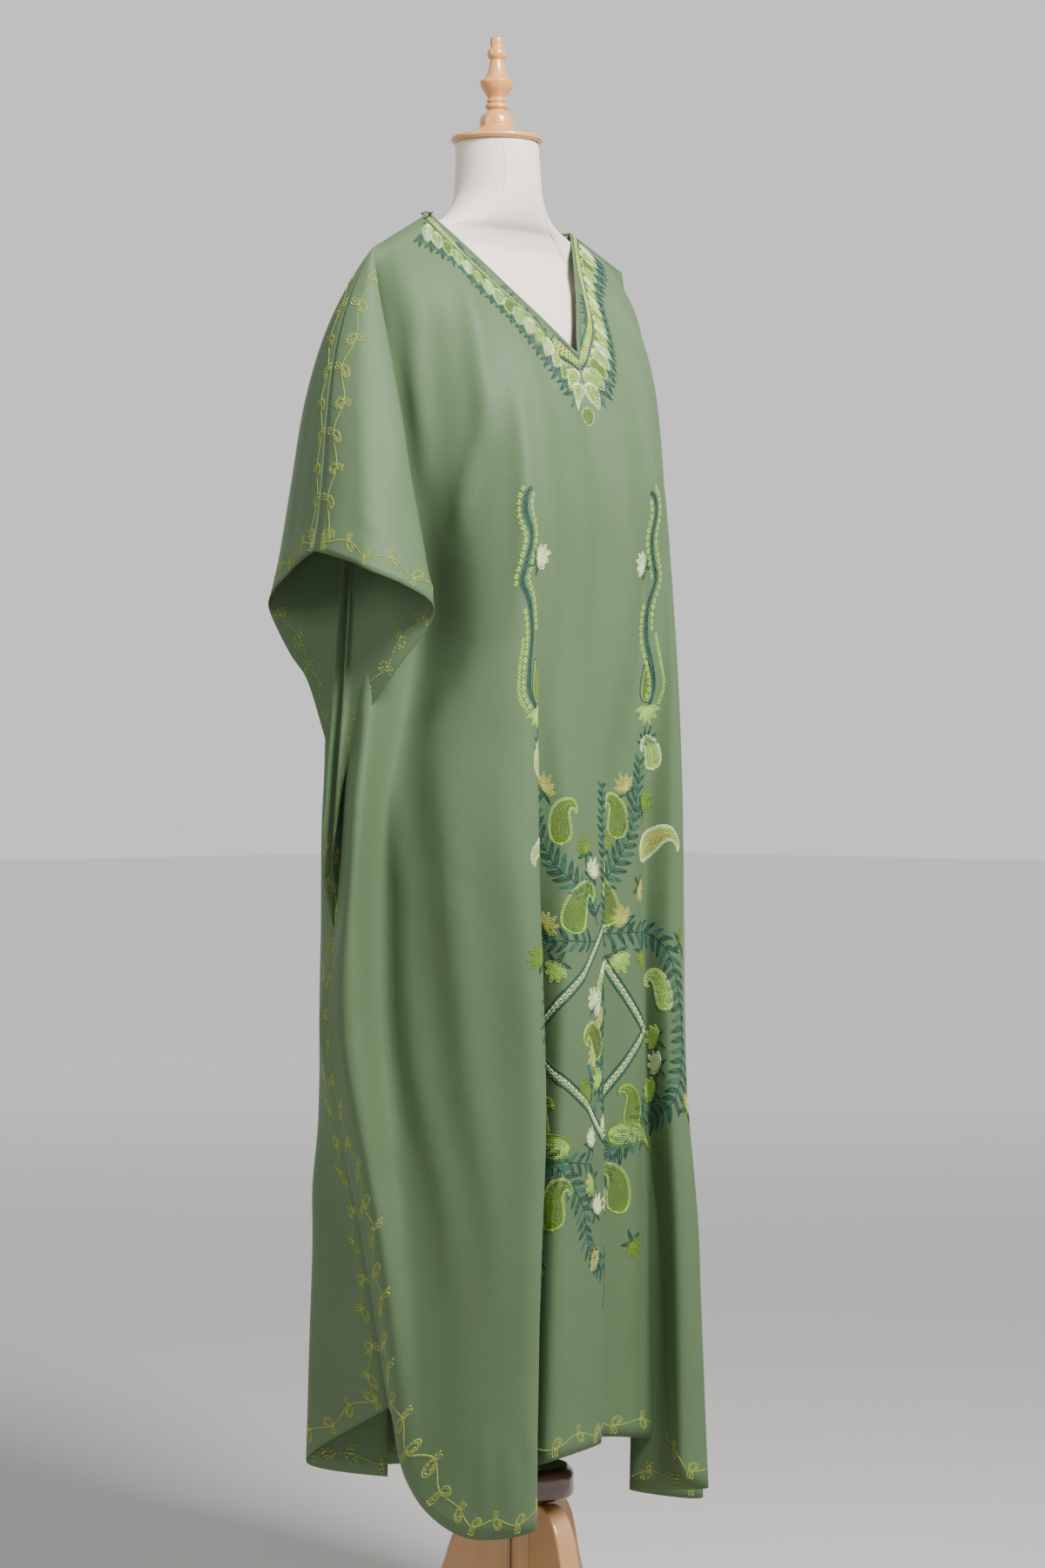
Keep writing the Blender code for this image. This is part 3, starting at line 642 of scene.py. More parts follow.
def wander(x, y, heading, length, bend=0.0, curl=0.0, steps=18):
    """A line that leaves a point on a heading (degrees from up, clockwise), bending as it goes."""
    u = (np.arange(steps) + 0.5) / steps
    angles = math.radians(heading) + math.radians(bend) * u + math.radians(curl) * u ** 3.2
    moves = np.column_stack([np.sin(angles), np.cos(angles)]) * length / steps
    return np.vstack([[(x, y)], (x, y) + np.cumsum(moves, axis=0)])


def rightward(line):
    """The way to the right of a drawn line, at each of its points."""
    ahead = unit(np.gradient(line, axis=0))
    return np.column_stack([ahead[:, 1], -ahead[:, 0]])


def drop(spine, width, inset=0.0, fat=0.55):
    """The closed outline of a petal or a paisley, swollen along its spine."""
    run = run_along(spine)
    length = run[-1]
    if length < 3 * inset + 1 or width / 2 <= inset:
        return None
    ends = np.linspace(0.7 * inset, length - 1.6 * inset, 20)
    middle = at(spine, run, ends)
    swell = np.sin(math.pi * (ends / length) ** fat) ** 0.8 * width / 2 - inset
    swell = np.clip(swell, 0, None)[:, None]
    beside = rightward(middle) * swell
    ring = np.vstack([middle + beside, (middle - beside)[::-1]])
    return np.vstack([ring, ring[:1]])


def filled(spine, width, threads, fat=0.55, step=FILL_STEP):
    """A shape worked solid from the outside in, one ring of chain after another."""
    for ring in range(9):
        line = drop(spine, width, ring * step, fat)
        if line is None:
            break
        stitches[threads[min(ring, len(threads) - 1)]].append(line)
    if width > 7:
        centre = spine[len(spine) // 8:int(len(spine) * 0.75)]
        stitches[threads[-1]].append(centre)


def petal(x, y, heading, length, width, threads):
    filled(wander(x, y, heading, length, 0, 0, 10), width, threads, 0.72)


def paisley(x, y, heading, length, width, threads, curl, bend=0.0):
    filled(wander(x, y, heading, length, bend, curl, 26), width, threads, 0.5)


def leaf(x, y, heading, length, width, thread="teal"):
    spine = wander(x, y, heading, length, 12, 0, 8)
    filled(spine, width, (thread,), 0.75, 2.3)
    stitches[thread].append(spine)


FAN_GROWN = 1.25


def fan(x, y, heading, reach, thread):
    """A half-open flower: five petals spread from one point, between two small leaves."""
    reach *= FAN_GROWN
    for spread in (-56, -28, 0, 28, 56):
        petal(x, y, heading + spread, 1.25 * reach * (1 - abs(spread) / 240), reach * 0.46, (thread,))
    for spread in (-104, 180, 104):
        leaf(x, y, heading + spread, reach * 0.8, 4.2)


LEAF_TURN, LEAF_WIDTH = 52, 0.25


def fern(line, side_leaf, gap):
    """A stem with leaves in pairs, longest in the middle."""
    stitches["teal"].append(line)
    run = run_along(line)
    count = max(2, round(run[-1] / gap))
    for k in range(1, count + 1):
        here = run[-1] * k / (count + 0.3)
        x, y = at(line, run, here)
        back_x, back_y = at(line, run, here - 2)
        heading = math.degrees(math.atan2(x - back_x, y - back_y))
        size = side_leaf * (0.75 + 0.25 * math.sin(math.pi * k / count))
        for side in (-1, 1):
            leaf(x, y, heading + side * LEAF_TURN, size, size * LEAF_WIDTH,
                 "pale_teal" if (k + (side > 0)) % 3 == 0 else "teal")


def tuft(x, y, heading, reach):
    """Six small leaves spread from one point."""
    for spread in (-80, -48, -16, 16, 48, 80):
        leaf(x, y, heading + spread, reach * (1 - abs(spread) / 400), 4)


def bead(x, y, radius, thread):
    """A ring of thread round a smaller one."""
    for r in (radius, radius * 0.45):
        turns = np.linspace(0, 2 * math.pi, 9)
        stitches[thread].append(np.column_stack([x + r * np.sin(turns), y + r * np.cos(turns)]))


def spaced(line, gap):
    """Places at even gaps along a line, with the heading of the line at each."""
    run = run_along(line)
    count = max(1, round(run[-1] / gap))
    places = []
    for k in range(count):
        here = run[-1] * (k + 0.5) / count
        behind, place, ahead = at(line, run, [here - 1, here, here + 1])
        places.append((*place, math.degrees(math.atan2(*(ahead - behind)))))
    return places


def round_line(points, steps=10):
    flat_points = [(x, y, 0) for x, y in points]
    return smooth_line(flat_points, [steps] * (len(points) - 1))[:, :2]


def beside_line(line, offset):
    """The same line moved to its right by an offset."""
    return line + rightward(line) * offset


# Neck border
# A bead band between two teal lines along the raw edge, a row of fat overlapping petals
# outside it, and small teal sprigs between the petals; it ends in a bud below the point.
BAND = (0.6, 4.0, 7.4)
PETAL_BASE = 10.0
PETAL_GAP = 15.4
PETAL_THREADS = (("lime", "cream"), ("cream", "cream", "lime"), ("lime", "lime", "olive"),
                 ("cream", "lime"), ("lime", "cream", "cream"), ("olive", "olive", "lime"))


def neck_line(side, offset):
    """A line beside one half of the V, from the shoulder seam to the middle."""
    edge = np.array((side * NECK_HALF, 0)) + np.array((-side * NECK_HALF, -V_DEPTH)) * (
        np.linspace(0, 1.25, 60)[:, None])
    line = beside_line(edge, -side * offset)
    return line[side * line[:, 0] >= 0]


for side in (-1, 1):
    for offset in (BAND[0], BAND[2]):
        stitches["teal_line"].append(neck_line(side, offset))
    for x, y, heading in spaced(neck_line(side, BAND[1]), 5.0):
        bead(x, y, 2.2, "lime" if int(y) % 2 else "gold")
    for k, (x, y, heading) in enumerate(spaced(neck_line(side, PETAL_BASE), PETAL_GAP)):
        threads = PETAL_THREADS[k % len(PETAL_THREADS)]
        grown = 1 + 0.22 * k / 17
        petal(x, y, heading - side * 66, 26 * grown, 17.5 * grown, threads)
        tip_x, tip_y = wander(x, y, heading - side * 92, 19 * grown, 0, 0, 4)[-1]
        for spread, reach in ((34, 13), (64, 19), (96, 15)):
            leaf(tip_x, tip_y, heading - side * spread, reach, 4.6,
                 "pale_teal" if spread == 34 else "teal")
        root_x, root_y = wander(x, y, heading - side * 160, 6, 0, 0, 3)[-1]
        leaf(root_x, root_y, heading - side * 60, 9, 3.2)
for side in (-1, 1):
    petal(side * 5, -V_DEPTH - 27, 180 - side * 14, 32, 15, ("cream", "cream", "lime"))
    leaf(side * 14, -V_DEPTH - 32, 180 - side * 62, 22, 7)
    leaf(side * 13, -V_DEPTH - 38, 180 - side * 34, 20, 6, "pale_teal")
petal(0, -V_DEPTH - 58, 180, 22, 12, ("lime", "olive"))


# Front bouquet
# Worked the same on both halves: two tall curled drops over tufts, fern stems that lean in to
# the middle, paisleys and fans on them, and a long spray round each side of the diamond.
MIDDLE_TOP = -672
NEAR_SPREAD = 0.7
TALL_OUT = -12


def spot(side, x, y):
    """A place on the front, moved out where the cloth hangs slack beside the middle."""
    out = TALL_OUT * min(1, max(0, (y + 680) / 50))
    if side < 0:
        out += NEAR_SPREAD * min(x, 60)
    return side * (x + out), y


def half_line(side, *places):
    return round_line([spot(side, x, y) for x, y in places])


# Paisleys and fans beside each stem, on the wearer's left half: where, the way they point and how
# long they are, then for a paisley its width, threads, curl and bend, and for a fan its thread
LIME_DROP = ("lime", "lime", "olive")
STEM_FLOWERS = (
    (44, -752, 4, 68, 29, LIME_DROP, -235, 0),
    (92, -776, 48, 78, 29, ("cream", "cream", "lime", "gold"), 150, 0),
    (56, -697, -30, 14, "gold"), (92, -716, 60, 14, "olive"), (24, -764, 10, 14, "olive"),
    (18, -790, -30, 14, "cream"), (84, -806, 130, 14, "gold"),
    (40, -852, -14, 82, 36, LIME_DROP, -215, 0))
SPRAY_FLOWERS = (
    (158, -950, -16, 71, 26, ("lime", "cream", "lime"), -240, 0),
    (78, -1082, 10, 66, 29, ("olive", "lime", "olive"), -200, 0),
    (48, -1092, 74, 96, 30, ("olive", "olive", "lime"), 70, 34),
    (62, -846, -50, 14, "gold"), (92, -880, 170, 15, "olive"), (52, -884, 150, 15, "lime"),
    (172, -866, 40, 14, "olive"), (146, -985, -70, 15, "lime"), (150, -1016, -60, 15, "cream"),
    (140, -1046, -74, 15, "lime"), (196, -1052, 50, 16, "gold"), (26, -1090, -20, 14, "cream"),
    (20, -1130, 120, 15, "lime"))
LOWER_FLOWERS = (
    (62, -1178, 6, 75, 32, LIME_DROP, -235, 0),
    (24, -1146, -20, 14, "olive"), (14, -1168, -30, 14, "cream"), (84, -1212, 150, 15, "olive"),
    (12, -1226, 50, 14, "gold"))


def flowers(side, rows):
    for x, y, heading, length, *rest in rows:
        if len(rest) == 1:
            fan(*spot(side, x, y), side * heading, length, rest[0])
        else:
            width, threads, curl, bend = rest
            paisley(*spot(side, x, y), side * heading, length, width, threads, side * curl,
                    side * bend)


for side in (-1, 1):
    # tall drop: a wavy teal body edged with rings of thread, a seed at the foot, petals below
    body = half_line(side, (92, -357), (98, -362), (102, -380), (97, -410), (107, -440), (112, -455),
                     (102, -485), (100, -520), (108, -555), (112, -580), (106, -598))
    for offset in (-2.6, -0.9, 0.9, 2.6):
        stitches["teal" if abs(offset) < 1 else "pale_teal"].append(beside_line(body, offset))
    for reach, first, last in ((-8.2, 0, 70), (8.2, 4, 52), (8.2, 60, 100)):
        for x, y, heading in spaced(beside_line(body, reach)[first:last], 7.8):
            bead(x, y, 2.2, "lime")
    for x, y, heading in spaced(beside_line(body, side * -14)[70:100], 4):
        bead(x, y, 1.6, "lime")
    paisley(*spot(side, 99, -596), 2, 50, 18, ("teal", "lime", "olive"), 0)
    fan(*spot(side, 88, -440), -side * 80, 15, "cream")
    for spread in (-84, -50, -17, 17, 50, 84):
        petal(*spot(side, 103, -604), 180 + spread, 19, 7.5, ("lime", "lime"))
    tuft(*spot(side, 100, -646), 0, 22)
    paisley(*spot(side, 108, -676), -side * 8, 59, 23, ("cream", "cream", "lime"), -side * 250)
    # fern stem leaning in, then the long spray outside the diamond, then the spray under it
    stem = half_line(side, (84, -664), (76, -700), (64, -745), (40, -790), (16, -826), (12, -846))
    fern(stem[::-1], 20, 11)
    flowers(side, STEM_FLOWERS)
    fern(half_line(side, (14, -864), (80, -858), (142, -872), (176, -925), (186, -1000),
                   (172, -1056), (110, -1088), (24, -1112)), 20, 13)
    flowers(side, SPRAY_FLOWERS)
    fern(half_line(side, (122, -1030), (88, -1078), (52, -1118), (34, -1160), (26, -1200),
                   (4, -1236)), 20, 12)
    flowers(side, LOWER_FLOWERS)
# a spray up the middle, and the tail below the last flower
fern(round_line([(0, -872), (2, -800), (-2, -740), (0, MIDDLE_TOP - 20)]), 14, 10)
stitches["teal"].append(round_line([(0, -1236), (2, -1262), (-3, -1280)]))


# Diamond
# A chain of cream thread rings between two teal lines, with a single spray inside.
DIAMOND_TOP, DIAMOND_BASE, DIAMOND_HALF = -850, -1090, 98
BAND_HALF = 4.8
DIAMOND_MIDDLE = (DIAMOND_TOP + DIAMOND_BASE) / 2
diamond = [(0, DIAMOND_TOP), spot(1, DIAMOND_HALF, DIAMOND_MIDDLE), (0, DIAMOND_BASE),
           spot(-1, DIAMOND_HALF, DIAMOND_MIDDLE), (0, DIAMOND_TOP)]
for start, end in zip(diamond[:-1], diamond[1:]):
    side_line = np.linspace(start, end, 20)
    for offset in (-BAND_HALF - 1, -BAND_HALF, BAND_HALF, BAND_HALF + 1):
        stitches["teal_line"].append(beside_line(side_line, offset))
    for x, y, heading in spaced(side_line, 6.6):
        bead(x, y, 2.1, "cream")
fern(round_line([(6, -1070), (-4, -1030), (-10, -985), (0, -935), (4, -890)]), 15, 11)
paisley(-14, -996, -28, 73, 30, LIME_DROP, -240)
paisley(-26, -948, 16, 80, 16, ("cream", "cream"), 40, 20)
for x, y, heading, curl in ((-24, -1000, -70, -330), (-6, -1046, -76, -330), (10, -1000, 60, 330),
                            (-30, -1022, -60, 330), (14, -960, 40, 300)):
    for offset in (-0.9, 0.9):
        stitches["pale_teal"].append(beside_line(wander(x, y, heading, 44, 0, curl), offset))
FLOWERS = (
    (-30, -990, -110, 15, "gold"), (-46, -1026, -100, 16, "olive"), (-18, -1028, -20, 15, "lime"),
    (-6, -955, -60, 14, "gold"), (-8, -918, -40, 14, "olive"), (-30, -935, -30, 15, "cream"),
    (10, -925, 40, 14, "lime"), (16, -1010, 80, 14, "gold"), (0, -1082, 0, 12, "cream"))
for x, y, heading, reach, thread in FLOWERS:
    fan(x, y, heading, reach, thread)


# Vine border
# One wavy stem with curled flowers and pairs of leaves, worked 25 mm wide just inside the
# overarm fold, the hand openings, the side slits and the hem, alike on front and back.
VINE_IN = 17
VINE_STEP = 38.0
VINE_SWING = 4.5
CURL_LENGTH, CURL_WIDTH = 18, 9
VINE_LEAVES = ((-70, 10), (-105, 9))     # how far each leaf turns off the stem, and its length
LEAF_ACROSS = 4.4
vine_lines = {"front": [], "back": []}


def border_path(panel):
    """The panel's outline on the flat cut, from one shoulder end round the hem to the other."""
    points, faces, flat, marks, grid = worn[panel]
    rows, width = grid.shape[:2]
    hem = flat[:rows * width].reshape(rows, width, 2)
    left = hem[ROWS_SLEEVE:, 0]
    right = hem[ROWS_SLEEVE:, -1][::-1]
    left_out, right_out = (left[0, 0], right[-1, 0])
    path = np.vstack([[(math.copysign(SHOULDER_HALF + 6, left_out), 0), (left_out, 0)], left,
                      hem[-1][1:-1], right,
                      [(right_out, 0), (math.copysign(SHOULDER_HALF + 6, right_out), 0)]])
    run = run_along(path)
    return at(path, run, np.linspace(0, run[-1], int(run[-1] / 4)))


def vine(path, lines):
    """Wavy stem, a curl and two leaves at every swing, on the inner side of a path."""
    turn_of = np.cross(path[5] - path[0], np.mean(path, axis=0) - path[0])
    inward = -1 if turn_of > 0 else 1
    run = run_along(path)
    ahead = np.gradient(path, axis=0)
    for axis in (0, 1):
        ahead[:, axis] = np.convolve(np.pad(ahead[:, axis], 3, mode="edge"), np.ones(7) / 7, "valid")
    ahead = unit(ahead)
    inside = np.column_stack([ahead[:, 1], -ahead[:, 0]]) * inward
    count = round(run[-1] / VINE_STEP)

    def within(along, off):
        along = min(max(along, 0), run[-1])
        return at(path, run, along) + off * at(inside, run, along)

    lines.append(np.array([
        within(s, VINE_IN + VINE_SWING * math.sin(2 * math.pi * s * count / run[-1] / 2))
        for s in np.arange(4, run[-1] - 4, 3.0)]))
    for k in range(count):
        here = run[-1] * (k + 0.5) / count
        swing = 1 if k % 2 else -1
        x, y = within(here, VINE_IN + VINE_SWING * -swing)
        heading = math.degrees(math.atan2(*(within(here + 2, VINE_IN) - within(here - 2, VINE_IN))))
        curl = wander(x, y, heading + swing * inward * 60, CURL_LENGTH, 0, swing * inward * -300, 16)
        for inset in (0, 2.0):
            line = drop(curl, CURL_WIDTH, inset, 0.5)
            if line is not None:
                lines.append(line)
        for spread, reach in VINE_LEAVES:
            spine = wander(x, y, heading + swing * inward * spread, reach, 10, 0, 5)
            lines.append(drop(spine, LEAF_ACROSS, 0, 0.75))


for panel in ("front", "back"):
    vine(border_path(panel), vine_lines[panel])


def faces_outward(mesh):
    bm = bmesh.new()
    bm.from_mesh(mesh)
    bmesh.ops.recalc_face_normals(bm, faces=bm.faces[:])
    bm.to_mesh(mesh)
    bm.free()


def stitch_link():
    """One loop of the chain, pointing along x: a low ridge, pinched at both ends."""
    rings = ((-0.9, 0.9, 0.64), (1.0, 0.8, 0.54))
    points = [(-2.1, 0.0, 0.05)]
    for x, half, high in rings:
        points += [(x, -half, 0.0), (x, 0.0, high), (x, half, 0.0)]
    points.append((2.3, 0.0, 0.05))
    faces = []
    for k in range(3):
        after = (k + 1) % 3
        faces.append((0, 1 + after, 1 + k))
        faces.append((1 + k, 1 + after, 4 + after, 4 + k))
        faces.append((4 + k, 4 + after, 7))
    mesh = bpy.data.meshes.new("stitch_link")
    mesh.from_pydata([Vector(p) * MM for p in points], [], faces)
    faces_outward(mesh)
    shade(mesh, True)
    return put("stitch_link", mesh)


def chain_stitch_tree():
    """Links along drawn lines, then every point carried from the flat cut to the worn cloth."""
    tree = bpy.data.node_groups.new("chain_stitch", "GeometryNodeTree")
    face = tree.interface
    face.new_socket("Geometry", in_out="OUTPUT", socket_type="NodeSocketGeometry")
    for name, kind in (("Geometry", "Geometry"), ("Skin", "Object"), ("Link", "Object"),
                       ("Thread", "Material"), ("Step", "Float"), ("Thickness", "Float"),
                       ("Lift", "Float")):
        face.new_socket(name, in_out="INPUT", socket_type="NodeSocket" + kind)
    vectors = {"data_type": "FLOAT_VECTOR"}
    given = node(tree, "NodeGroupInput")
    curve = node(tree, "GeometryNodeMeshToCurve")
    resample = node(tree, "GeometryNodeResampleCurve", mode="LENGTH")
    tangent = node(tree, "GeometryNodeInputTangent")
    turn_to = node(tree, "FunctionNodeAlignRotationToVector", axis="X")
    link_info = node(tree, "GeometryNodeObjectInfo")
    uneven = node(tree, "FunctionNodeRandomValue", {2: 0.88, 3: 1.12, "Seed": 4}, data_type="FLOAT")
    instance = node(tree, "GeometryNodeInstanceOnPoints")
    realize = node(tree, "GeometryNodeRealizeInstances")
    skin_info = node(tree, "GeometryNodeObjectInfo")
    place = node(tree, "GeometryNodeInputPosition")
    to_map = node(tree, "ShaderNodeVectorMath",
                  {1: (1000 / CUT_SPAN, 1000 / CUT_SPAN, 0),
                   2: (CUT_SHIFT[0] / CUT_SPAN, CUT_SHIFT[1] / CUT_SPAN, 0)}, operation="MULTIPLY_ADD")
    cut_map = node(tree, "GeometryNodeInputNamedAttribute", {"Name": "cut"}, **vectors)
    outward = node(tree, "GeometryNodeInputNamedAttribute", {"Name": "outward"}, **vectors)
    on_skin = node(tree, "GeometryNodeSampleUVSurface", **vectors)
    up_from = node(tree, "GeometryNodeSampleUVSurface", **vectors)
    missed = node(tree, "FunctionNodeBooleanMath", operation="NOT")
    drop_missed = node(tree, "GeometryNodeDeleteGeometry")
    height = node(tree, "ShaderNodeSeparateXYZ")
    thick = node(tree, "ShaderNodeMath", operation="MULTIPLY_ADD")
    lifted = node(tree, "ShaderNodeVectorMath", operation="SCALE")
    laid = node(tree, "ShaderNodeVectorMath", operation="ADD")
    set_place = node(tree, "GeometryNodeSetPosition")
    dyed = node(tree, "GeometryNodeSetMaterial")
    result = node(tree, "NodeGroupOutput")
    join(tree, (given, "Geometry", curve, "Mesh"), (curve, "Curve", resample, "Curve"),
         (given, "Step", resample, "Length"), (tangent, "Tangent", turn_to, "Vector"),
         (given, "Link", link_info, "Object"), (resample, "Curve", instance, "Points"),
         (link_info, "Geometry", instance, "Instance"), (turn_to, "Rotation", instance, "Rotation"),
         (uneven, 1, instance, "Scale"), (instance, "Instances", realize, "Geometry"),
         (given, "Skin", skin_info, "Object"), (place, "Position", to_map, 0))
    for sampler, source, output in ((on_skin, place, "Position"), (up_from, outward, "Attribute")):
        join(tree, (skin_info, "Geometry", sampler, "Mesh"), (source, output, sampler, "Value"),
             (cut_map, "Attribute", sampler, "Source UV Map"), (to_map, "Vector", sampler, "Sample UV"))
    join(tree, (on_skin, "Is Valid", missed, 0), (realize, "Geometry", drop_missed, "Geometry"),
         (missed, "Boolean", drop_missed, "Selection"), (place, "Position", height, "Vector"),
         (height, "Z", thick, 0), (given, "Thickness", thick, 1), (given, "Lift", thick, 2),
         (up_from, "Value", lifted, 0), (thick, "Value", lifted, "Scale"),
         (on_skin, "Value", laid, 0), (lifted, "Vector", laid, 1),
         (drop_missed, "Geometry", set_place, "Geometry"), (laid, "Vector", set_place, "Position"),
         (set_place, "Geometry", dyed, "Geometry"), (given, "Thread", dyed, "Material"),
         (dyed, "Geometry", result, "Geometry"))
    return tree


def thread_finish(name, light, dark):
    """Loosely twisted rayon thread: glossy, a little uneven in its dye."""
    material, tree, shader = finish(name, {
        "Roughness": 0.42, "Specular IOR Level": 0.4, "Sheen Weight": 0.08})
    cloudy_dye(tree, shader, node(tree, "ShaderNodeTexCoord"), "Object", light, dark, 90, 2)
    return material


link = stitch_link()
chain_tree = chain_stitch_tree()


def sew(name, lines, skin, thread, step, thickness=1.0, lift=0.0):
    """Lay the chain along every line, freeze it and hand it to the frame."""
    verts = []
    edges = []
    for line in lines:
        first = len(verts)
        verts += [Vector((x, y, 0)) * MM for x, y in line]
        edges += [(k, k + 1) for k in range(first, len(verts) - 1)]
    mesh = bpy.data.meshes.new(name)
    mesh.from_pydata(verts, edges, [])
    drawn = put(name, mesh)
    modifier = drawn.modifiers.new("chain", "NODES")
    modifier.node_group = chain_tree
    settings = {"Skin": skin, "Link": link, "Thread": thread, "Step": step * MM,
                "Thickness": thickness, "Lift": lift * MM}
    for item in chain_tree.interface.items_tree:
        if item.item_type == "SOCKET" and item.in_out == "INPUT" and item.name in settings:
            modifier[item.identifier] = settings[item.name]
    bpy.context.view_layer.update()
    evaluated = drawn.evaluated_get(bpy.context.evaluated_depsgraph_get())
    frozen = bpy.data.meshes.new_from_object(evaluated)
    drawn.modifiers.clear()
    drawn.data = frozen
    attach(drawn, "root")
    return drawn


# light and dark of each thread's dye
DYES = {"teal": ((0.007, 0.066, 0.040), (0.004, 0.040, 0.025)),
        "pale_teal": ((0.028, 0.135, 0.086), (0.014, 0.090, 0.056)),
        "teal_line": ((0.008, 0.068, 0.042), (0.005, 0.045, 0.027)),
        "lime": ((0.38, 0.58, 0.11), (0.26, 0.44, 0.06)),
        "cream": ((0.66, 0.74, 0.42), (0.50, 0.61, 0.27)),
        "olive": ((0.15, 0.25, 0.013), (0.085, 0.165, 0.007)),
        "gold": ((0.45, 0.45, 0.10), (0.30, 0.33, 0.05))}
for thread in THREADS:
    dye = thread_finish(f"{thread}_thread", *DYES[thread])
    sew(f"stitches_{thread}", stitches[thread], skins["front"], dye, CHAIN_STEP)
vine_dye = thread_finish("vine_thread", (0.30, 0.36, 0.07), (0.20, 0.26, 0.035))
VINE_CHAIN, REVERSE_CHAIN, REVERSE_THICKNESS = 3.2, 5.2, -0.6
for panel in ("front", "back"):
    sew(f"vine_{panel}", vine_lines[panel], skins[panel], vine_dye, VINE_CHAIN)
    # the reverse of the same stitches, on the inner face
    sew(f"vine_reverse_{panel}", vine_lines[panel], skins[panel], vine_dye, REVERSE_CHAIN,
        REVERSE_THICKNESS, -CREPE - 0.05)
bpy.data.objects.remove(link)


# Neck binding
# A narrow strip of the same crepe rolled over the raw neck edge, right round the opening.
BINDING_REACH = 1.8
BINDING_HALF = (1.85, 1.0)


def neck_run(panel):
    """One panel's neck edge, the normals there, and the way off the cloth's edge."""
    points, faces, flat, marks, grid = worn[panel]
    normals = sheet_normals(points, faces)
    columns = [c for c, mark in enumerate(marks) if abs(mark) <= 1.001]
    run = []
    for column in columns:
        steps = [points[c + 1] - points[c] for c in (column - 1, column)
                 if c >= columns[0] and c < columns[-1]]
        along = sum(step / np.linalg.norm(step) for step in steps) / len(steps)
        off = np.cross(normals[column], along)
        if np.dot(off, points[column] - points[column + len(marks)]) < 0:
            off = -off
        run.append([points[column], normals[column], off / np.linalg.norm(off) ** 2])
    return run


front_run = neck_run("front")
back_run = neck_run("back")
for end, side in ((0, -1), (-1, 1)):
    up = front_run[end][1] + back_run[end][1]
    off = np.array(NECK_POINTS[side], dtype=float) - np.array(SHOULDER_ENDS[side])
    for run in (front_run, back_run):
        run[end][1] = up / np.linalg.norm(up)
        run[end][2] = off / np.linalg.norm(off)


def tube_mesh(name, rings, closed, material):
    """A skin over a row of rings, shaded smooth; open tubes are capped."""
    around = len(rings[0])
    points = np.array(rings).reshape(-1, 3)
    faces = []
    for k in range(len(rings) if closed else len(rings) - 1):
        for corner in range(around):
            a = around * k + corner
            b = around * k + (corner + 1) % around
            shift = around * ((k + 1) % len(rings)) - around * k
            faces.append((a, b, b + shift, a + shift))
    if not closed:
        faces += [tuple(range(around)), tuple(range(len(points) - around, len(points)))]
    mesh = bpy.data.meshes.new(name)
    mesh.from_pydata(placed(points), [], faces)
    faces_outward(mesh)
    mesh.polygons.foreach_set("use_smooth", [len(f.vertices) < 5 for f in mesh.polygons])
    mesh.materials.append(material)
    return put(name, mesh)


rings = []
for edge, normal, off in front_run + back_run[::-1]:
    rings.append([edge + off * (BINDING_REACH + BINDING_HALF[0] * math.cos(turn))
                  + normal * BINDING_HALF[1] * math.sin(turn)
                  for turn in np.linspace(0, 2 * math.pi, 10, endpoint=False)])
binding = tube_mesh("rolled_neck_edge", rings, True, crepe)
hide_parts("neck_binding")
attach(binding, "root")


# Thread loop
# A hand-knotted loop of thread at the wearer's right shoulder seam, which closes on nothing here.
def cord(name, points, radius, material, around=8):
    line = smooth_line(points, [8] * (len(points) - 1))
    ahead = unit(np.gradient(line, axis=0))
    beside = unit(np.cross(ahead, (0.3, 0.2, 1.0)))
    over = np.cross(ahead, beside)
    turns = np.linspace(0, 2 * math.pi, around, endpoint=False)
    made = [[p + radius * (b * math.cos(a) + o * math.sin(a)) for a in turns]
            for p, b, o in zip(line, beside, over)]
    return tube_mesh(name, made, False, material)


thread_green = bpy.data.materials["teal_line_thread"]
LOOP = ((-118, 42, 1665), (-122, 34, 1666), (-127, 38, 1667), (-126, 46, 1666), (-120, 48, 1666),
        (-115, 43, 1667), (-117, 37, 1668), (-123, 36, 1666))
loop = cord("thread_loop", LOOP, 0.8, thread_green)
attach(loop, "root")


# Dress form
# A padded torso and neck in a tight cream cotton cover, sewn from long panels; one shape with
# the neck, capped with wood. Only the neck and collar show.
FORM_SECTIONS = (
    (840, 140, -66, 90), (852, 150, -74, 96), (900, 162, -82, 104), (1000, 168, -86, 108),
    (1100, 150, -80, 96), (1210, 122, -68, 74), (1310, 136, -78, 84), (1400, 150, -86, 94),
    (1480, 158, -68, 98), (1540, 168, -40, 96), (1585, 176, -10, 84), (1612, 178, 16, 74),
    (1634, 157.5, 28, 66), (1656, 116, 22, 71), (1668, 84, 10, 82), (1682, 66, 4, 93),
    (1700, 54, 1, 98), (1725, 49.5, 1, 100), (1761, 48, 4, 100))
NECK_STARTS = 13
BUST_X, BUST_HEIGHT, BUST_FULL = 86, 1400, 26
FORM_AROUND = 96


def form_point(height, half, front, back, turn, stand=0.0):
    x = (half + stand) * math.cos(turn)
    y = (front + back) / 2 + ((back - front) / 2 + stand) * math.sin(turn)
    if math.sin(turn) < 0:
        for breast in (-BUST_X, BUST_X):
            away = ((x - breast) / 46) ** 2 + ((height - BUST_HEIGHT) / 62) ** 2
            y -= BUST_FULL * math.exp(-away) * min(1, -2 * math.sin(turn))
    return x, y, height


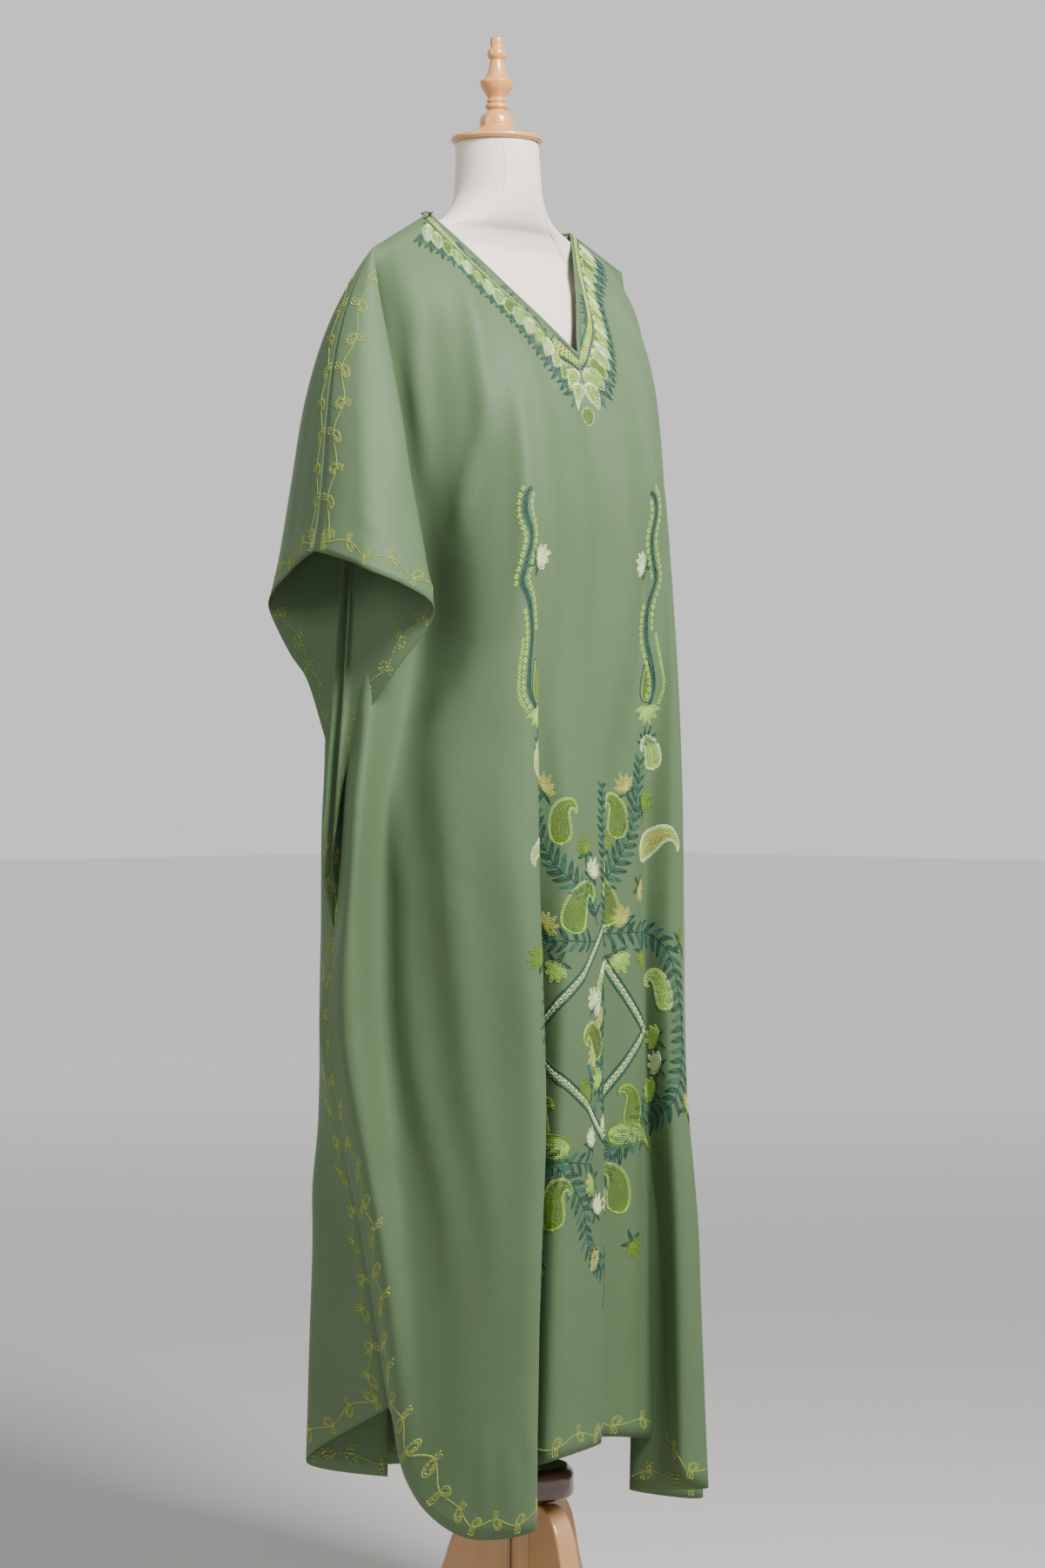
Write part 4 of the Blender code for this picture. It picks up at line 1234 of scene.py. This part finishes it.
sections = np.array(FORM_SECTIONS, dtype=float)
torso = [[np.interp(z, sections[:, 0], sections[:, k]) for k in range(4)]
         for z in np.arange(840, FORM_SECTIONS[NECK_STARTS][0], 8)]
neck_count = len(FORM_SECTIONS) - NECK_STARTS
neck = []
for front_or_back in (2, 3):
    neck.append(smooth_line(sections[NECK_STARTS:, (0, 1, front_or_back)], [6] * (neck_count - 1)))
levels = torso + [[a[0], a[1], a[2], b[2]] for a, b in zip(*neck)]
form_rings = [[form_point(*level, turn)
               for turn in np.linspace(0, 2 * math.pi, FORM_AROUND, endpoint=False)]
              for level in levels]


def cotton_finish():
    """Cream cotton: one plain colour, a matt face and a fine weave."""
    material, tree, shader = finish("cream_cotton", {
        "Base Color": (0.80, 0.71, 0.63, 1), "Roughness": 0.85, "Sheen Weight": 0.2})
    where = node(tree, "ShaderNodeTexCoord")
    weave = node(tree, "ShaderNodeTexNoise", {"Scale": 700})
    bump = node(tree, "ShaderNodeBump", {"Strength": 0.3, "Distance": 0.0004})
    join(tree, (where, "Object", weave, "Vector"), (weave, "Fac", bump, "Height"),
         (bump, "Normal", shader, "Normal"))
    return material


cotton = cotton_finish()
cover = tube_mesh("form_cover", form_rings, False, cotton)
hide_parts("form_body")
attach(cover, "root")
SEAM_TURNS = (-125, -55, 60, 120)
for number, degrees in enumerate(SEAM_TURNS, start=1):
    turn = math.radians(degrees)
    up_the_neck = [form_point(*level, turn, 0.1) for level in levels[len(torso) - 4:-1:3]]
    seam = cord(f"form_seam_{number}", up_the_neck, 0.55, cotton, 6)
    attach(seam, "root")


# Stand
# Turned and varnished hardwood cap with a finial; a steel pole up into the form; a dark stained
# hub; a pale post with three sawn, round-edged legs glued to it.
def wood_finish(name, light, dark, rough, coat, grain_scale):
    """Two shades in long streaks up the piece, under varnish."""
    material, tree, shader = finish(name, {
        "Roughness": rough, "Coat Weight": coat, "Coat Roughness": 0.12})
    where = node(tree, "ShaderNodeTexCoord")
    stretch = node(tree, "ShaderNodeMapping", {"Scale": (1, 1, 0.08)})
    join(tree, (where, "Object", stretch, "Vector"))
    cloudy_dye(tree, shader, stretch, "Vector", light, dark, grain_scale, 4)
    return material


def turned(name, profile, centre, material, cad_name, steps=3, around=72):
    """Turned on a lathe; the profile runs from the bottom to the top as (radius, height)."""
    fine = smooth_line([(r, h, 0) for r, h in profile], [steps] * (len(profile) - 1))
    made = [[(centre[0] + r * math.cos(a), centre[1] + r * math.sin(a), h)
             for a in np.linspace(0, 2 * math.pi, around, endpoint=False)] for r, h in fine[:, :2]]
    thing = tube_mesh(name, made, False, material)
    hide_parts(cad_name)
    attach(thing, "root")
    return thing


honey = wood_finish("honey_varnish", (0.72, 0.36, 0.11), (0.58, 0.25, 0.06), 0.35, 0.8, 220)
stained = wood_finish("dark_stain", (0.10, 0.035, 0.02), (0.05, 0.018, 0.012), 0.3, 0.8, 180)
pale = wood_finish("pale_beech", (0.55, 0.31, 0.13), (0.44, 0.23, 0.09), 0.45, 0.3, 160)
steel = wood_finish("satin_steel", (0.42, 0.42, 0.42), (0.36, 0.36, 0.36), 0.35, 0.0, 60)
steel.node_tree.nodes["Principled BSDF"].inputs["Metallic"].default_value = 1.0
CAP_BASE = 1761.3
FINIAL = (
    (49.5, 0), (53, 2), (53.5, 4), (52.5, 6.5), (47, 8), (34, 10.5), (24, 14.5), (20, 19),
    (20, 21), (19.5, 27), (17.8, 32), (12, 37.5), (10.5, 38.5), (13.4, 41), (12.8, 45), (10.6, 46),
    (12.2, 48.5), (10.7, 52), (12.5, 56), (16, 61), (19, 67), (19.5, 72), (14.8, 74.5), (12, 80),
    (9.4, 88), (7.8, 95.5), (7.7, 96.5), (10.2, 99.5), (11, 104), (9.6, 108.8), (7.7, 110.2),
    (7.7, 121.5), (6.6, 122.5))
turned("cap_and_finial", [(r, CAP_BASE + h) for r, h in FINIAL], (0, 52), honey,
       "cap_finial")
turned("pole_tube", [(12, 240.3), (12, 540), (12, 839.7)], (0, 0), steel, "pole", 1, 48)
turned("hub_block", [(46, 203), (51, 206), (52, 211), (52, 222), (52, 230), (49.5, 236), (44, 240)],
       (0, 0), stained, "hub")
turned("post_block", [(19, 45), (22, 48), (22, 120), (22, 202.7)], (0, 0), pale, "post",
       2)
LEG_THICK = 25
LEG_TURNS = (135, 255, 15)
LEG_SHAPE = (
    (22.3, 198), (48, 200), (66, 192), (80, 176), (90, 152), (99, 124), (114, 92), (138, 58),
    (168, 30), (205, 14), (214, 8), (216, 0), (160, 0), (132, 16), (104, 42), (80, 72), (58, 96),
    (38, 108), (22.3, 112))
outer = smooth_line([(r, h, 0) for r, h in LEG_SHAPE[:11]], [5] * 10)[:, :2]
under = smooth_line([(r, h, 0) for r, h in LEG_SHAPE[12:]], [5] * 6)[:, :2]
outline = np.vstack([outer, [LEG_SHAPE[11]], under])
for number, degrees in enumerate(LEG_TURNS, start=1):
    turn = math.radians(degrees)
    out_way = np.array((math.cos(turn), math.sin(turn), 0))
    side_way = np.array((-math.sin(turn), math.cos(turn), 0))
    slabs = [[out_way * r + np.array((0, 0, h)) + side_way * face * LEG_THICK / 2
              for r, h in outline] for face in (-1, 1)]
    board = tube_mesh(f"leg_board_{number}", slabs, False, pale)
    shade(board.data, False)
    rounding = board.modifiers.new("rounding", "BEVEL")
    rounding.width = 3 * MM
    rounding.segments = 3
    rounding.limit_method = "ANGLE"
    rounding.angle_limit = math.radians(50)
    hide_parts(f"leg_{number}")
    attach(board, "root")

for skin in skins.values():
    bpy.data.objects.remove(skin)
